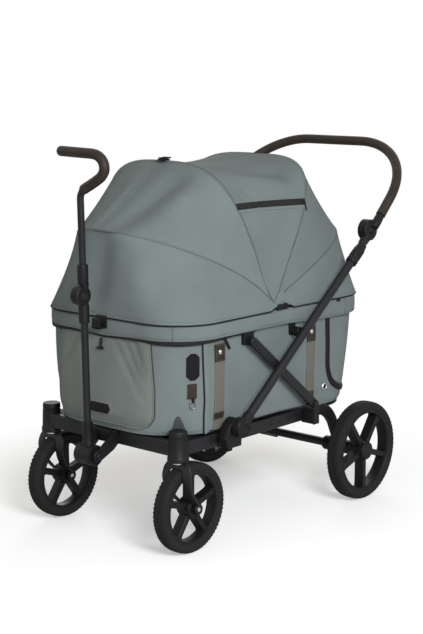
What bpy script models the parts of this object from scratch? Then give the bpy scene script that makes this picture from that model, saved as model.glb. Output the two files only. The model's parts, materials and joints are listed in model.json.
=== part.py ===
"""Folding four-wheeled pram wagon: crossed side frame, pull handle, push handle, soft basket and hood.

Metres, +Z up.  The front is -Y, and the wagon is symmetric about X = 0.  While it is modelled,
Y = 0 is the line of the two front caster stems; the last step slides it so that the origin is
in the middle of its base.
"""
import math

import bmesh
import bpy
from mathutils import Matrix, Vector

# Fits
GAP = 0.0003             # between faces that touch
RUN = 0.0004             # running clearance round a pin, a stem or a sliding tube

# Facets
ROUND = 16               # discs and hubs
SLIM = 12                # tubes
FINE = 8                 # pins and holes
BEND_STEPS = 5           # points in a quarter bend
BOW_STEPS = 14
CLOTH_STEPS = 14

# Wheels
TYRE_SIDES = 28
REAR_WHEEL_R = 0.145
REAR_WHEEL_X = 0.295
REAR_AXLE_Y = 0.731
REAR_TYRE_W = 0.045
FRONT_WHEEL_R = 0.122
FRONT_TYRE_W = 0.042
TYRE_DEPTH = 0.027       # from tread to rim seat
RIM_WALL = 0.006
SPOKES = 5
SPOKE_ROOT_W = 0.024
SPOKE_TIP_W = 0.018
SPOKE_DRAFT = 0.006
REAR_SPOKE_TURN = 180.0 / SPOKES   # a spoke points straight down
FRONT_SPOKE_TURN = 0.0             # a spoke points straight up
HUB_R = 0.027
REAR_HUB_HALF = 0.0245
FRONT_HUB_HALF = 0.0225
HUB_CAP_T = 0.009
AXLE_R = 0.006

# Front casters
CASTER_X = 0.238
CASTER_TRAIL = 0.041
STEM_R = 0.007
HOUSING_Z = 0.2535
HOUSING_H = 0.081
HOUSING_R = 0.0285
HOUSING_TOP_R = 0.0225
STEM_DEPTH = 0.055
FORK_STRAP_W = 0.026
FORK_STRAP_T = 0.005
FORK_HALF = 0.0375
FORK_LUG_R = 0.0145
FORK_LUG_W = 0.011
FORK_WASHER_R = 0.014
FORK_DROP = 0.0035       # between housing and strap

# Lower frame
RAIL_X = 0.2435          # middle of a side rail
RAIL_W = 0.023
RAIL_Z = 0.268
RAIL_H = 0.036
RAIL_END_Y = 0.575
RAIL_HOLES_Y = (0.359, 0.398, 0.438)
RAIL_HOLE_R = 0.0028
DECK_Z = 0.308           # what the basket rests on
FRONT_RAIL_Y = -0.011
FRONT_RAIL_T = 0.020
HINGE_ARM_T = 0.012
HINGE_EYE_R = 0.016
HINGE_LOW_Z = 0.240
ARM_TAIL_H = 0.028
AXLE_TUBE_R = 0.0125
AXLE_BOSS_R = 0.021
AXLE_BOSS_X = 0.165
AXLE_BOSS_END = 0.268
PEDAL_X = -0.094
PEDAL_W = 0.068
PEDAL_CLIP_R = 0.0175
REAR_BAR_Y = 0.738
REAR_BAR_T = 0.022

# Crossed side frame: leg and brace are equal about their crossing, so the rim stays level
FOLD_ANGLE = math.radians(38.8)
SLIDE_Y = 0.165
BRACKET_Y = 0.505
PIVOT_Z = 0.3235
RIM_PIVOT_Z = 0.538
LEG_X = 0.310
LEG_R = 0.012
LEG_BORE_R = 0.010
LEG_LENGTH = 0.666
LEG_BORE_DEPTH = 0.236
LEG_HUB_R = 0.0265
LEG_HUB_W = 0.026
BRACE_X = 0.290
BRACE_T = 0.013
BRACE_W = 0.026
PIN_R = 0.004
BOLT_HEAD_R = 0.0075
CROSS_BOSS_R = 0.010
BRACKET_L = 0.042
BRACKET_TOP_R = 0.0155
BRACKET_CHEEK_T = 0.004
CHEEK_X = 0.2662         # inner face of the brackets' and collars' upright cheeks
HANGER_R = 0.0135
SLIDER_L = 0.040
COLLAR_L = 0.060
COLLAR_WALL = 0.003
COLLAR_CHEEK_R = 0.0225
LEVER_GAP = 0.024        # between the lugs that hold a release lever
LEVER_W = 0.019
LEVER_T = 0.008

# Push handle
SLEEVE_BACK = 0.054      # a sleeve's start, back from its leg's end
SLEEVE_START = LEG_LENGTH - SLEEVE_BACK
SLEEVE_LENGTH = 0.072
SLEEVE_R = 0.0165
INNER_R = 0.0092
INNER_START = LEG_LENGTH - LEG_BORE_DEPTH + 0.020
KNUCKLE_ALONG = LEG_LENGTH + 0.072    # joint disc, along the leg from its hub
KNUCKLE_OFF = 0.008      # and off the leg's line
KNUCKLE_R = 0.030
KNUCKLE_T = 0.0142
KNUCKLE_SPLIT = 0.0102   # joint face, inwards from the leg's line
BAR_ANGLE = math.radians(45.0)
BAR_REACH = 0.339
BAR_BEND_R = 0.150
BAR_R = 0.0100
BAR_GRIP_R = 0.0142
BAR_GRIP_START = 0.062
BUTTON_R = 0.011
BUTTON_PROUD = 0.002
BUTTON_TRAVEL = 0.0035
BUTTON_SUNK = 0.0042

# Pull handle
PULL_Y = -0.090
PULL_Z = 0.248
PULL_LEAN = math.radians(1.2)
PULL_HUB_R = 0.0285
PULL_HUB_W = 0.058
PULL_TUBE_R = 0.0098
PULL_UPPER_R = 0.0092
PULL_SOCKET = 0.040
LOWER_SOCKET = 0.030
PULL_JOINT_UP = 0.425    # mid joint above the hinge
PULL_JOINT_OFF = 0.010
PULL_JOINT_R = 0.025
PULL_JOINT_T = 0.028
PULL_SLEEVE_R = 0.0142
PULL_COLLAR_R = 0.0142
PULL_COLLAR_TOP = 0.086
PULL_BUTTON_SUNK = 0.0022
PULL_SPINDLE = 0.006
PULL_SLEEVE_LOW = 0.352
PULL_SLEEVE_HIGH = 0.505
PULL_TOP = 0.676
PULL_GRIP_R = 0.0135

# Basket
BASKET_FRONT = -0.030
BASKET_REAR = 0.800
RIM_X = 0.280
RIM_CORNER_R = 0.120
BAND_Z = 0.554
BAND_H = 0.052
BAND_T = 0.0025
BAND_LIP = 0.0105        # reaches over the tube; the hood's hem stands on it
RIM_TUBE_R = 0.008
RIM_TUBE_Z = 0.578
CLIP_HALF = 0.011
CLIP_T = 0.004
CLIP_REACH = 0.022       # ahead of the band
WALL_T = 0.003
WALL_TOP_X = 0.2615
TUB_X = 0.256
TUB_FRONT = -0.036
TUB_REAR = 0.772
TUB_H = 0.056
TUB_CORNER_R = 0.172     # wide enough to pass behind the caster housings
PAD_T = 0.028

# Hood
HOOD_Y = 0.382
HOOD_Z = 0.618
HOOD_X = 0.272
BOW_T = 0.005
BOW_W = 0.010
BOW_STEP = 0.0056
BOW_SINK = 0.0072        # fabric surface to the bow's outer face
BOW_EYE_R = 0.011
POST_X = 0.2642          # inner face of the post that holds a side's eyes
POST_T = 0.0046
POST_TOP_R = 0.009
POST_FOOT = 0.032
SHANK = 0.100            # straight length of a bow above its eye
FLARE_LOW = 0.120        # where it starts to spread to the hood's full width
FLARE_HIGH = 0.260
TAB_BOW = "main_bow"     # the bow with the fixing tab
TAB_W = 0.032
TAB_T = 0.0036
TAB_PROUD = 0.010
CLOTH_T = 0.002
MITRE = 1.15             # how much thicker a panel is along its mitred edge
EDGE_STEP = 0.01         # share of a bow over which its direction is taken
PANEL_END = 0.972        # how far round from the top the side panels reach towards the pivot
# name, angle from the rear, reach, squareness
BOWS = (
    ("rear_bow", math.radians(26.0), 0.448, 2.7),
    ("rear_top_bow", math.radians(62.0), 0.436, 3.2),
    ("main_bow", math.radians(115.0), 0.432, 3.5),
    ("front_bow", math.radians(153.0), 0.494, 2.3),
)

SIN = math.sin(FOLD_ANGLE)
COS = math.cos(FOLD_ANGLE)
LEG_DIR = Vector((0.0, COS, SIN))
LEG_UP = Vector((0.0, -SIN, COS))
BRACE_DIR = Vector((0.0, -COS, SIN))
CROSS_ALONG = (BRACKET_Y - SLIDE_Y) / 2 / COS
RIM_ALONG = (RIM_PIVOT_Z - PIVOT_Z) / SIN
SLIDE = Vector((0.0, SLIDE_Y, PIVOT_Z))
BRACKET = Vector((0.0, BRACKET_Y, PIVOT_Z))
X_AXIS = Vector((1.0, 0.0, 0.0))
Z_AXIS = Vector((0.0, 0.0, 1.0))


# Scene and materials

def clear_scene():
    for old in list(bpy.data.objects):
        bpy.data.objects.remove(old, do_unlink=True)


def collection(name):
    group = bpy.data.collections.get(name) or bpy.data.collections.new(name)
    if name not in bpy.context.scene.collection.children:
        bpy.context.scene.collection.children.link(group)
    return group


def material(name, colour, roughness, metallic=0.0):
    made = bpy.data.materials.get(name)
    if made is None:
        made = bpy.data.materials.new(name)
        made.use_nodes = True
        shader = made.node_tree.nodes["Principled BSDF"]
        shader.inputs["Base Color"].default_value = (*colour, 1.0)
        shader.inputs["Roughness"].default_value = roughness
        shader.inputs["Metallic"].default_value = metallic
    return made


def frame_paint():
    return material("frame_paint", (0.025, 0.025, 0.028), 0.45, 0.3)


def black_plastic():
    return material("black_plastic", (0.020, 0.020, 0.022), 0.55)


def tyre_rubber():
    return material("tyre_rubber", (0.018, 0.018, 0.018), 0.85)


def grip_leather():
    return material("grip_leather", (0.035, 0.022, 0.016), 0.6)


def shell_fabric():
    return material("shell_fabric", (0.17, 0.20, 0.19), 0.9)


def pad_fabric():
    return material("pad_fabric", (0.10, 0.12, 0.115), 0.95)


# Shape helpers

def add_object(name, mesh, finish=None):
    """Link a mesh as a part, or as a hidden tool when it has no finish."""
    made = bpy.data.objects.new(name, mesh)
    if finish is None:
        collection("pram_tools").objects.link(made)
        made.hide_render = True
        made.display_type = "WIRE"
    else:
        mesh.materials.append(finish)
        collection("pram").objects.link(made)
    return made


def from_bmesh(name, shape, finish=None, smooth=True):
    bmesh.ops.recalc_face_normals(shape, faces=shape.faces)
    mesh = bpy.data.meshes.new(name)
    shape.to_mesh(mesh)
    shape.free()
    if smooth:
        mesh.shade_smooth()
        mesh.set_sharp_from_angle(angle=math.radians(35.0))
    return add_object(name, mesh, finish)


def block(name, low, high, finish=None, bevel=0.0, segments=1):
    """A box between two corners, its edges rounded when a bevel is given."""
    shape = bmesh.new()
    size = Vector(high) - Vector(low)
    middle = (Vector(high) + Vector(low)) / 2
    bmesh.ops.create_cube(shape, size=1.0)
    bmesh.ops.transform(shape, matrix=Matrix.Translation(middle) @ Matrix.Diagonal((*size, 1.0)),
                        verts=shape.verts)
    if bevel:
        bmesh.ops.bevel(shape, geom=list(shape.edges), offset=bevel, segments=segments,
                        profile=0.5, affect="EDGES")
    return from_bmesh(name, shape, finish)


def facing(direction, place):
    """A matrix that takes +Z to a direction and the origin to a place."""
    turn = Vector(direction).to_track_quat("Z", "Y").to_matrix().to_4x4()
    return Matrix.Translation(Vector(place)) @ turn


def rod(name, start, end, radius, finish=None, sides=SLIM, end_radius=None):
    """A round bar, or a cone, from one point to another."""
    start, end = Vector(start), Vector(end)
    shape = bmesh.new()
    bmesh.ops.create_cone(shape, cap_ends=True, segments=sides, radius1=radius,
                          radius2=radius if end_radius is None else end_radius,
                          depth=(end - start).length)
    bmesh.ops.transform(shape, matrix=facing(end - start, (start + end) / 2), verts=shape.verts)
    return from_bmesh(name, shape, finish)


def turned(name, profile, finish=None, sides=ROUND, place=None, ring=False):
    """A (radius, height) profile turned about local Z; a ring profile is a closed loop."""
    mesh = bpy.data.meshes.new(name)
    points = [(radius, 0.0, height) for radius, height in profile]
    edges = [(i, i + 1) for i in range(len(points) - 1)]
    if ring:
        edges.append((len(points) - 1, 0))
    mesh.from_pydata(points, edges, [])
    made = add_object(name, mesh, finish)
    screw = made.modifiers.new("turn", "SCREW")
    screw.steps = sides
    screw.render_steps = sides
    screw.use_merge_vertices = True
    screw.merge_threshold = 0.00005
    screw.use_normal_calculate = False
    bake(made, place or Matrix.Identity(4))
    return made


def bake(made, place=None):
    """Keep an object's evaluated shape as its own mesh, moved by a matrix, facing outwards."""
    bpy.context.view_layer.update()
    evaluated = made.evaluated_get(bpy.context.evaluated_depsgraph_get())
    mesh = bpy.data.meshes.new_from_object(evaluated)
    made.modifiers.clear()
    shape = bmesh.new()
    shape.from_mesh(mesh)
    bmesh.ops.remove_doubles(shape, verts=shape.verts, dist=0.000001)
    if place is not None:
        bmesh.ops.transform(shape, matrix=place, verts=shape.verts)
    bmesh.ops.recalc_face_normals(shape, faces=shape.faces)
    shape.to_mesh(mesh)
    shape.free()
    mesh.shade_smooth()
    mesh.set_sharp_from_angle(angle=math.radians(35.0))
    made.data = mesh
    return made


def bore_radius(shaft, sides=FINE, play=RUN):
    """A bore whose flats clear a round shaft, however either is turned."""
    return (shaft + play) / math.cos(math.pi / sides)


def arc(centre, radius, start, end, count):
    """Points on an arc, from one angle in degrees to another."""
    steps = [math.radians(start + (end - start) * i / (count - 1)) for i in range(count)]
    return [(centre[0] + radius * math.cos(a), centre[1] + radius * math.sin(a)) for a in steps]


def plate(name, outline, low_x, high_x, finish=None):
    """A (y, z) outline given thickness along X."""
    shape = bmesh.new()
    face = shape.faces.new([shape.verts.new((low_x, y, z)) for y, z in outline])
    grown = bmesh.ops.extrude_face_region(shape, geom=[face])
    moved = [v for v in grown["geom"] if isinstance(v, bmesh.types.BMVert)]
    bmesh.ops.translate(shape, vec=(high_x - low_x, 0.0, 0.0), verts=moved)
    return from_bmesh(name, shape, finish)


def loft(name, rings, finish=None, looped=False, smooth=True):
    """Skin a list of equal rings of points; the ends are capped, or joined when looped."""
    shape = bmesh.new()
    rows = [[shape.verts.new(point) for point in ring] for ring in rings]
    count = len(rows[0])
    last = len(rows) if looped else len(rows) - 1
    for i in range(last):
        here, there = rows[i], rows[(i + 1) % len(rows)]
        for j in range(count):
            k = (j + 1) % count
            shape.faces.new((here[j], here[k], there[k], there[j]))
    if not looped:
        shape.faces.new(rows[0])
        shape.faces.new(rows[-1])
    return from_bmesh(name, shape, finish, smooth)


def bent_tube(name, points, radius, finish=None, sides=2):
    """A round tube along a list of points, as a welded mesh."""
    curve = bpy.data.curves.new(name, "CURVE")
    curve.dimensions = "3D"
    curve.bevel_depth = radius
    curve.bevel_resolution = sides
    curve.use_fill_caps = True
    spline = curve.splines.new("POLY")
    spline.points.add(len(points) - 1)
    for knot, point in zip(spline.points, points):
        knot.co = (*point, 1.0)
    guide = bpy.data.objects.new(name + "_path", curve)
    bpy.context.scene.collection.objects.link(guide)
    bpy.context.view_layer.update()
    evaluated = guide.evaluated_get(bpy.context.evaluated_depsgraph_get())
    shape = bmesh.new()
    shape.from_mesh(bpy.data.meshes.new_from_object(evaluated))
    bmesh.ops.remove_doubles(shape, verts=shape.verts, dist=0.00005)
    bpy.data.objects.remove(guide, do_unlink=True)
    return from_bmesh(name, shape, finish)


def combine(target, operation, *tools):
    """Boolean each tool into the target and keep the result as the target's mesh."""
    for tool in tools:
        step = target.modifiers.new(tool.name, "BOOLEAN")
        step.operation = operation
        step.solver = "EXACT"
        step.object = tool
        bake(target)
        bpy.data.objects.remove(tool, do_unlink=True)
    return target


def unite(target, *tools):
    return combine(target, "UNION", *tools)


def cut(target, *tools):
    return combine(target, "DIFFERENCE", *tools)


def mirrored(made, name):
    """The same piece on the other side of X = 0."""
    mesh = made.data.copy()
    mesh.name = name
    shape = bmesh.new()
    shape.from_mesh(mesh)
    bmesh.ops.transform(shape, matrix=Matrix.Diagonal((-1.0, 1.0, 1.0, 1.0)), verts=shape.verts)
    bmesh.ops.recalc_face_normals(shape, faces=shape.faces)
    shape.to_mesh(mesh)
    shape.free()
    copy = bpy.data.objects.new(name, mesh)
    collection("pram").objects.link(copy)
    return copy


def both_sides(stem, made):
    """Name a right-hand piece and add its left-hand twin."""
    made.name = stem + "_right"
    return made, mirrored(made, stem + "_left")


def pivot(name, place, parent):
    """An empty on a joint's axis, which its pieces hang from."""
    empty = bpy.data.objects.new(name, None)
    empty.empty_display_size = 0.02
    collection("pram").objects.link(empty)
    empty.matrix_world = Matrix.Translation(Vector(place))
    if parent is not None:
        bpy.context.view_layer.update()
        empty.parent = parent
        empty.matrix_parent_inverse = parent.matrix_world.inverted()
    bpy.context.view_layer.update()
    return empty


def hang(empty, *pieces):
    """Parent pieces to a pivot and put their origins on it."""
    for piece in pieces:
        place = Matrix.Translation(empty.matrix_world.translation)
        piece.data.transform(place.inverted())
        piece.parent = empty


def leg_point(along, off=0.0, x=LEG_X):
    """A point given along the leg from its hub, and off its line."""
    spot = SLIDE + LEG_DIR * along + LEG_UP * off
    return Vector((x, spot.y, spot.z))


def smoothstep(value, low, high):
    share = min(max((value - low) / (high - low), 0.0), 1.0)
    return share * share * (3.0 - 2.0 * share)


# Wheels

def wheel_turn():
    """Turned about Z to turned about X, with a facet and not an edge at the bottom."""
    return facing(X_AXIS, (0.0, 0.0, 0.0)) @ Matrix.Rotation(math.pi / TYRE_SIDES, 4, "Z")


def tyre(name, radius, width):
    """A turned tyre with a flat tread, rounded shoulders and a bead."""
    seat = radius - TYRE_DEPTH
    half = width / 2
    side = [(seat, half * 0.72), (radius - 0.012, half), (radius - 0.004, half * 0.84),
            (radius, half * 0.42)]
    profile = side + [(r, -x) for r, x in reversed(side)]
    return turned(name, profile, tyre_rubber(), TYRE_SIDES, wheel_turn(), ring=True)


def axle_height(radius):
    """The tread's facets lie flat on the ground, so the axle is a touch lower than the radius."""
    return radius * math.cos(math.pi / TYRE_SIDES)


def wheel_rim(name, radius, width, hub_half, bore_high, spoke_turn):
    """A deep barrel, tapered box spokes and a capped hub with its bore from the inner side."""
    seat = radius - TYRE_DEPTH - GAP
    half = width / 2 * 0.80
    barrel = [(seat, half), (seat, -half), (seat - RIM_WALL, -half), (seat - RIM_WALL, half)]
    to_x = wheel_turn()
    rim = turned(name, barrel, black_plastic(), TYRE_SIDES, to_x, ring=True)
    hub_profile = [(0.0, hub_half), (HUB_R - 0.002, hub_half), (HUB_R, hub_half - 0.003),
                   (HUB_R * 0.88, -hub_half), (0.0, -hub_half)]
    hub = turned(name + "_hub", hub_profile, None, ROUND, to_x)
    deep = half - 0.0025
    for i in range(SPOKES):
        turn = Matrix.Rotation(2 * math.pi * i / SPOKES + math.radians(spoke_turn), 4, "X")
        rings = []
        for reach, wide in ((HUB_R * 0.6, SPOKE_ROOT_W), (seat - RIM_WALL / 2, SPOKE_TIP_W)):
            outer = wide - SPOKE_DRAFT
            corners = ((-deep, -wide / 2), (deep, -outer / 2), (deep, outer / 2), (-deep, wide / 2))
            rings.append([turn @ Vector((x, y, reach)) for x, y in corners])
        hub = unite(hub, loft(f"{name}_spoke_{i}", rings))
    rim = unite(rim, hub)
    bore = rod(name + "_bore", (-hub_half * 2, 0, 0), (bore_high, 0, 0), bore_radius(AXLE_R), None, FINE)
    return cut(rim, bore)


def rear_wheels(chassis):
    height = axle_height(REAR_WHEEL_R)
    for side, sign in (("right", 1.0), ("left", -1.0)):
        empty = pivot(f"rear_axle_{side}", (sign * REAR_WHEEL_X, REAR_AXLE_Y, height), chassis)
        rim = wheel_rim(f"rear_wheel_{side}", REAR_WHEEL_R, REAR_TYRE_W, REAR_HUB_HALF,
                        REAR_HUB_HALF - HUB_CAP_T, REAR_SPOKE_TURN)
        rubber = tyre(f"rear_tyre_{side}", REAR_WHEEL_R, REAR_TYRE_W)
        for piece in (rim, rubber):
            if sign < 0:
                piece.data.transform(Matrix.Rotation(math.pi, 4, "Z"))
            piece.parent = empty


def front_casters(chassis):
    height = axle_height(FRONT_WHEEL_R)
    for side, sign in (("right", 1.0), ("left", -1.0)):
        x = sign * CASTER_X
        swivel = pivot(f"caster_swivel_{side}", (x, 0.0, HOUSING_Z), chassis)
        frame = fork(f"caster_fork_{side}", x, height)
        hang(swivel, frame)
        spin = pivot(f"front_axle_{side}", (x, CASTER_TRAIL, height), swivel)
        rim = wheel_rim(f"front_wheel_{side}", FRONT_WHEEL_R, FRONT_TYRE_W, FRONT_HUB_HALF,
                        FRONT_HUB_HALF * 2, FRONT_SPOKE_TURN)
        rubber = tyre(f"front_tyre_{side}", FRONT_WHEEL_R, FRONT_TYRE_W)
        rim.parent = spin
        rubber.parent = spin


def fork(name, x, height):
    """A strap bent over the wheel, its arms sweeping back to two axle lugs, with stem and axle."""
    half = FORK_HALF
    top = HOUSING_Z - FORK_DROP - FORK_STRAP_T / 2
    side = [(half * 0.50, top - 0.0004, -0.001), (half * 0.82, top - 0.0070, -0.003),
            (half * 0.97, top - 0.022, -0.006), (half, top - 0.042, -0.009),
            (half * 0.96, top - 0.073, 0.001), (half * 0.86, top - 0.103, 0.024),
            (half * 0.80, height + 0.001, CASTER_TRAIL)]
    path = [(-a, z, y) for a, z, y in reversed(side)] + [(0.0, top, 0.0)] + side
    rings = []
    for i, (a, z, y) in enumerate(path):
        before, after = path[max(i - 1, 0)], path[min(i + 1, len(path) - 1)]
        along = Vector((after[0] - before[0], 0.0, after[1] - before[1])).normalized()
        out = Vector((-along.z, 0.0, along.x)) * FORK_STRAP_T / 2
        drop = (top - z) / (top - height)
        wide = Vector((0.0, FORK_STRAP_W / 2 * (1.0 - 0.18 * drop), 0.0))
        spot = Vector((x + a, y, z))
        rings.append([spot + out + wide, spot + out - wide, spot - out - wide, spot - out + wide])
    frame = loft(name, rings, frame_paint())
    lug_r = FORK_LUG_R
    lug_in = half * 0.80 - FORK_LUG_W / 2
    for sign in (-1.0, 1.0):
        start = Vector((x + sign * lug_in, CASTER_TRAIL, height))
        end = start + X_AXIS * sign * FORK_LUG_W
        unite(frame, rod(f"{name}_lug{sign:.0f}", start, end, lug_r, None, SLIM, lug_r * 0.86))
    axle = rod(name + "_axle", (x - lug_in - 0.002, CASTER_TRAIL, height),
               (x + lug_in + 0.002, CASTER_TRAIL, height), AXLE_R, None, FINE)
    stem = rod(name + "_stem", (x, 0, top), (x, 0, HOUSING_Z + STEM_DEPTH - 0.003), STEM_R, None, FINE)
    washer = rod(name + "_washer", (x, 0, top), (x, 0, HOUSING_Z - GAP), FORK_WASHER_R, None, FINE)
    return unite(frame, axle, stem, washer)


# Lower frame

def housing_profile(grow=0.0):
    top = HOUSING_H
    cap = top - 0.016
    slope = (HOUSING_R - HOUSING_TOP_R) / (cap - 0.006)
    at_cap = HOUSING_TOP_R + grow
    groove = 0.0012
    body = [(HOUSING_R + grow, 0.004), (HOUSING_R + grow, -grow), (0.0, -grow)]
    if grow:
        return [(0.0, top), (at_cap, top), (at_cap, cap)] + body
    return [(0.0, top), (at_cap - 0.004, top), (at_cap, top - 0.003), (at_cap, cap + 0.0012),
            (at_cap - groove, cap + 0.0007), (at_cap - groove, cap - 0.0008),
            (at_cap + slope * 0.002, cap - 0.0013)] + body


def housing_solid(name, finish=None, grow=0.0):
    place = Matrix.Translation((CASTER_X, 0.0, HOUSING_Z))
    return turned(name, housing_profile(grow), finish, ROUND, place)


def caster_housings():
    housing = housing_solid("caster_housing", black_plastic())
    bore = rod("stem_bore", (CASTER_X, 0, HOUSING_Z - 0.01), (CASTER_X, 0, HOUSING_Z + STEM_DEPTH),
               bore_radius(STEM_R), None, FINE)
    return both_sides("caster_housing", cut(housing, bore))


def side_rails():
    """Box-section tubes, cupped to the housing in front and drilled between the pivots."""
    rail = block("side_rail", (RAIL_X - RAIL_W / 2, 0.008, RAIL_Z),
                 (RAIL_X + RAIL_W / 2, RAIL_END_Y, RAIL_Z + RAIL_H), frame_paint(), 0.003)
    cut(rail, housing_solid("rail_cup", None, GAP))
    for i, y in enumerate(RAIL_HOLES_Y):
        outer = RAIL_X + RAIL_W / 2
        cut(rail, rod(f"rail_hole_{i}", (outer - 0.005, y, RAIL_Z + RAIL_H * 0.45),
                      (outer + 0.005, y, RAIL_Z + RAIL_H * 0.45), RAIL_HOLE_R, None, FINE))
    return both_sides("side_rail", rail)


def front_rail():
    """The front cross tube, with the pull handle's hinge bracket welded under it."""
    low = (-CASTER_X, FRONT_RAIL_Y - FRONT_RAIL_T / 2, RAIL_Z)
    high = (CASTER_X, FRONT_RAIL_Y + FRONT_RAIL_T / 2, DECK_Z)
    rail = block("front_rail", low, high, frame_paint(), 0.003)
    cup = housing_solid("front_cup", None, GAP)
    twin = mirrored(cup, "front_cup_left")
    collection("pram").objects.unlink(twin)
    collection("pram_tools").objects.link(twin)
    cut(rail, cup, twin)
    arm_in = PULL_HUB_W / 2 + GAP
    arm_t = HINGE_ARM_T
    back = FRONT_RAIL_Y + FRONT_RAIL_T / 2 - 0.001
    seat = block("hinge_seat", (-arm_in - arm_t, FRONT_RAIL_Y - FRONT_RAIL_T / 2 - HINGE_ARM_T, HINGE_LOW_Z),
                 (arm_in + arm_t, back, RAIL_Z + 0.004))
    inside = arm_in + 0.002
    cut(seat, rod("hinge_clear", (-inside, PULL_Y, PULL_Z), (inside, PULL_Y, PULL_Z),
                  PULL_HUB_R + 0.002, None, ROUND))
    unite(rail, seat)
    for sign in (-1.0, 1.0):
        reach = HINGE_EYE_R
        outline = arc((PULL_Y, PULL_Z), reach, 110.0, 270.0, 9)
        outline += [(back - 0.004, PULL_Z - reach), (back - 0.002, RAIL_Z + 0.003),
                    (FRONT_RAIL_Y - FRONT_RAIL_T / 2 + 0.004, RAIL_Z + 0.003)]
        xs = sorted((sign * arm_in, sign * (arm_in + arm_t)))
        unite(rail, plate(f"hinge_arm{sign:.0f}", outline, xs[0], xs[1]))
    pin = rod("hinge_pin", (-arm_in - 0.003, PULL_Y, PULL_Z), (arm_in + 0.003, PULL_Y, PULL_Z),
              PIN_R, None, FINE)
    return unite(rail, pin)


def rear_arms():
    """Curved arms from the rail ends down to the axle bosses."""
    height = axle_height(REAR_WHEEL_R)
    middle = [(RAIL_END_Y + GAP, RAIL_Z + RAIL_H / 2), (0.604, 0.282), (0.630, 0.268),
              (0.652, 0.243), (0.667, 0.212), (0.683, 0.180), (0.706, 0.156),
              (REAR_AXLE_Y, height)]
    upper, lower = [], []
    for i, (y, z) in enumerate(middle):
        before, after = middle[max(i - 1, 0)], middle[min(i + 1, len(middle) - 1)]
        along = Vector((0.0, after[0] - before[0], after[1] - before[1])).normalized()
        if i == 0:
            along = Vector((0.0, 1.0, 0.0))
        wide = RAIL_H + (ARM_TAIL_H - RAIL_H) * i / (len(middle) - 1)
        upper.append((y - along.z * wide / 2, z + along.y * wide / 2))
        lower.append((y + along.z * wide / 2, z - along.y * wide / 2))
    outline = upper + lower[::-1]
    inner, outer = RAIL_X - RAIL_W / 2, RAIL_X + RAIL_W / 2
    arm = plate("rear_arm", outline, inner, outer, black_plastic())
    boss = turned("arm_boss", [(0.0, AXLE_BOSS_END), (AXLE_BOSS_R, AXLE_BOSS_END),
                               (AXLE_BOSS_R, inner - 0.004), (AXLE_BOSS_R * 0.84, inner - 0.042),
                               (AXLE_BOSS_R * 0.84, AXLE_BOSS_X), (0.0, AXLE_BOSS_X)],
                  None, ROUND, facing(X_AXIS, (0.0, REAR_AXLE_Y, height)))
    shelf = block("arm_shelf", (inner, 0.590, RAIL_Z + 0.012), (outer, 0.640, DECK_Z))
    unite(arm, boss, shelf)
    bore = rod("arm_bore", (AXLE_BOSS_X - 0.01, REAR_AXLE_Y, height),
               (0.28, REAR_AXLE_Y, height), bore_radius(AXLE_R), None, FINE)
    return both_sides("rear_arm", cut(arm, bore))


def rear_axle():
    """A wide middle tube on a thin axle that runs through the arms into both hubs."""
    end = REAR_WHEEL_X + 0.012
    wide = AXLE_BOSS_X - GAP
    height = axle_height(REAR_WHEEL_R)
    profile = [(0.0, end), (AXLE_R, end), (AXLE_R, wide), (AXLE_TUBE_R, wide),
               (AXLE_TUBE_R, -wide), (AXLE_R, -wide), (AXLE_R, -end), (0.0, -end)]
    return turned("rear_axle", profile, frame_paint(), SLIM,
                  facing(X_AXIS, (0.0, REAR_AXLE_Y, height)))


def rear_bar():
    """The bar that carries the back of the basket, on two struts from the arms' shelves."""
    inner = RAIL_X - RAIL_W / 2
    y = REAR_BAR_Y
    low = DECK_Z - 0.012
    bar = block("rear_bar", (-inner, y - REAR_BAR_T / 2, low), (inner, y + REAR_BAR_T / 2, DECK_Z),
                black_plastic(), 0.003)
    for sign in (-1.0, 1.0):
        xs = sorted((sign * (inner - 0.022), sign * (inner - GAP)))
        unite(bar, block(f"rear_strut{sign:.0f}", (xs[0], 0.592, low + 0.001), (xs[1], y, DECK_Z)))
    return bar


def brace_brackets():
    """Clamps on the side rails; each holds a brace's foot between two cheeks, on a pin."""
    clamp_in = RAIL_X + RAIL_W / 2 + GAP
    cheek_in = CHEEK_X
    slot_in = BRACE_X - BRACE_T / 2 - GAP
    slot_out = BRACE_X + BRACE_T / 2 + GAP
    outer = slot_out + BRACKET_CHEEK_T
    foot = PIVOT_Z - BRACE_W / 2 - 0.004
    half = BRACKET_L / 2
    bracket = block("brace_bracket", (clamp_in, BRACKET_Y - half, RAIL_Z - 0.005),
                    (outer, BRACKET_Y + half, foot), black_plastic(), 0.002)
    round_top = [(BRACKET_Y + half - 0.002, foot - 0.004)]
    round_top += arc((BRACKET_Y, PIVOT_Z), BRACKET_TOP_R, 0.0, 180.0, 8)
    round_top += [(BRACKET_Y - half + 0.002, foot - 0.004)]
    unite(bracket, plate("cheek_in", round_top, cheek_in, slot_in),
          plate("cheek_out", round_top, slot_out, outer))
    pin = rod("bracket_pin", (cheek_in + 0.002, BRACKET_Y, PIVOT_Z),
              (outer + 0.0018, BRACKET_Y, PIVOT_Z), PIN_R, None, FINE)
    head = rod("bracket_rivet", (outer - 0.001, BRACKET_Y, PIVOT_Z - 0.034),
               (outer + 0.0015, BRACKET_Y, PIVOT_Z - 0.034), 0.0045, None, FINE)
    return both_sides("brace_bracket", unite(bracket, pin, head))


# Basket

def rounded_loop(half_x, front, rear, corner, z, segments=BEND_STEPS):
    """A closed ring of points: a rectangle with round corners, seen from above."""
    ring = []
    corners = ((half_x - corner, front + corner, -90.0), (half_x - corner, rear - corner, 0.0),
               (-half_x + corner, rear - corner, 90.0), (-half_x + corner, front + corner, 180.0))
    for x, y, start in corners:
        ring += [Vector((px, py, z)) for px, py in arc((x, y), corner, start, start + 90.0, segments)]
    return ring


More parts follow.
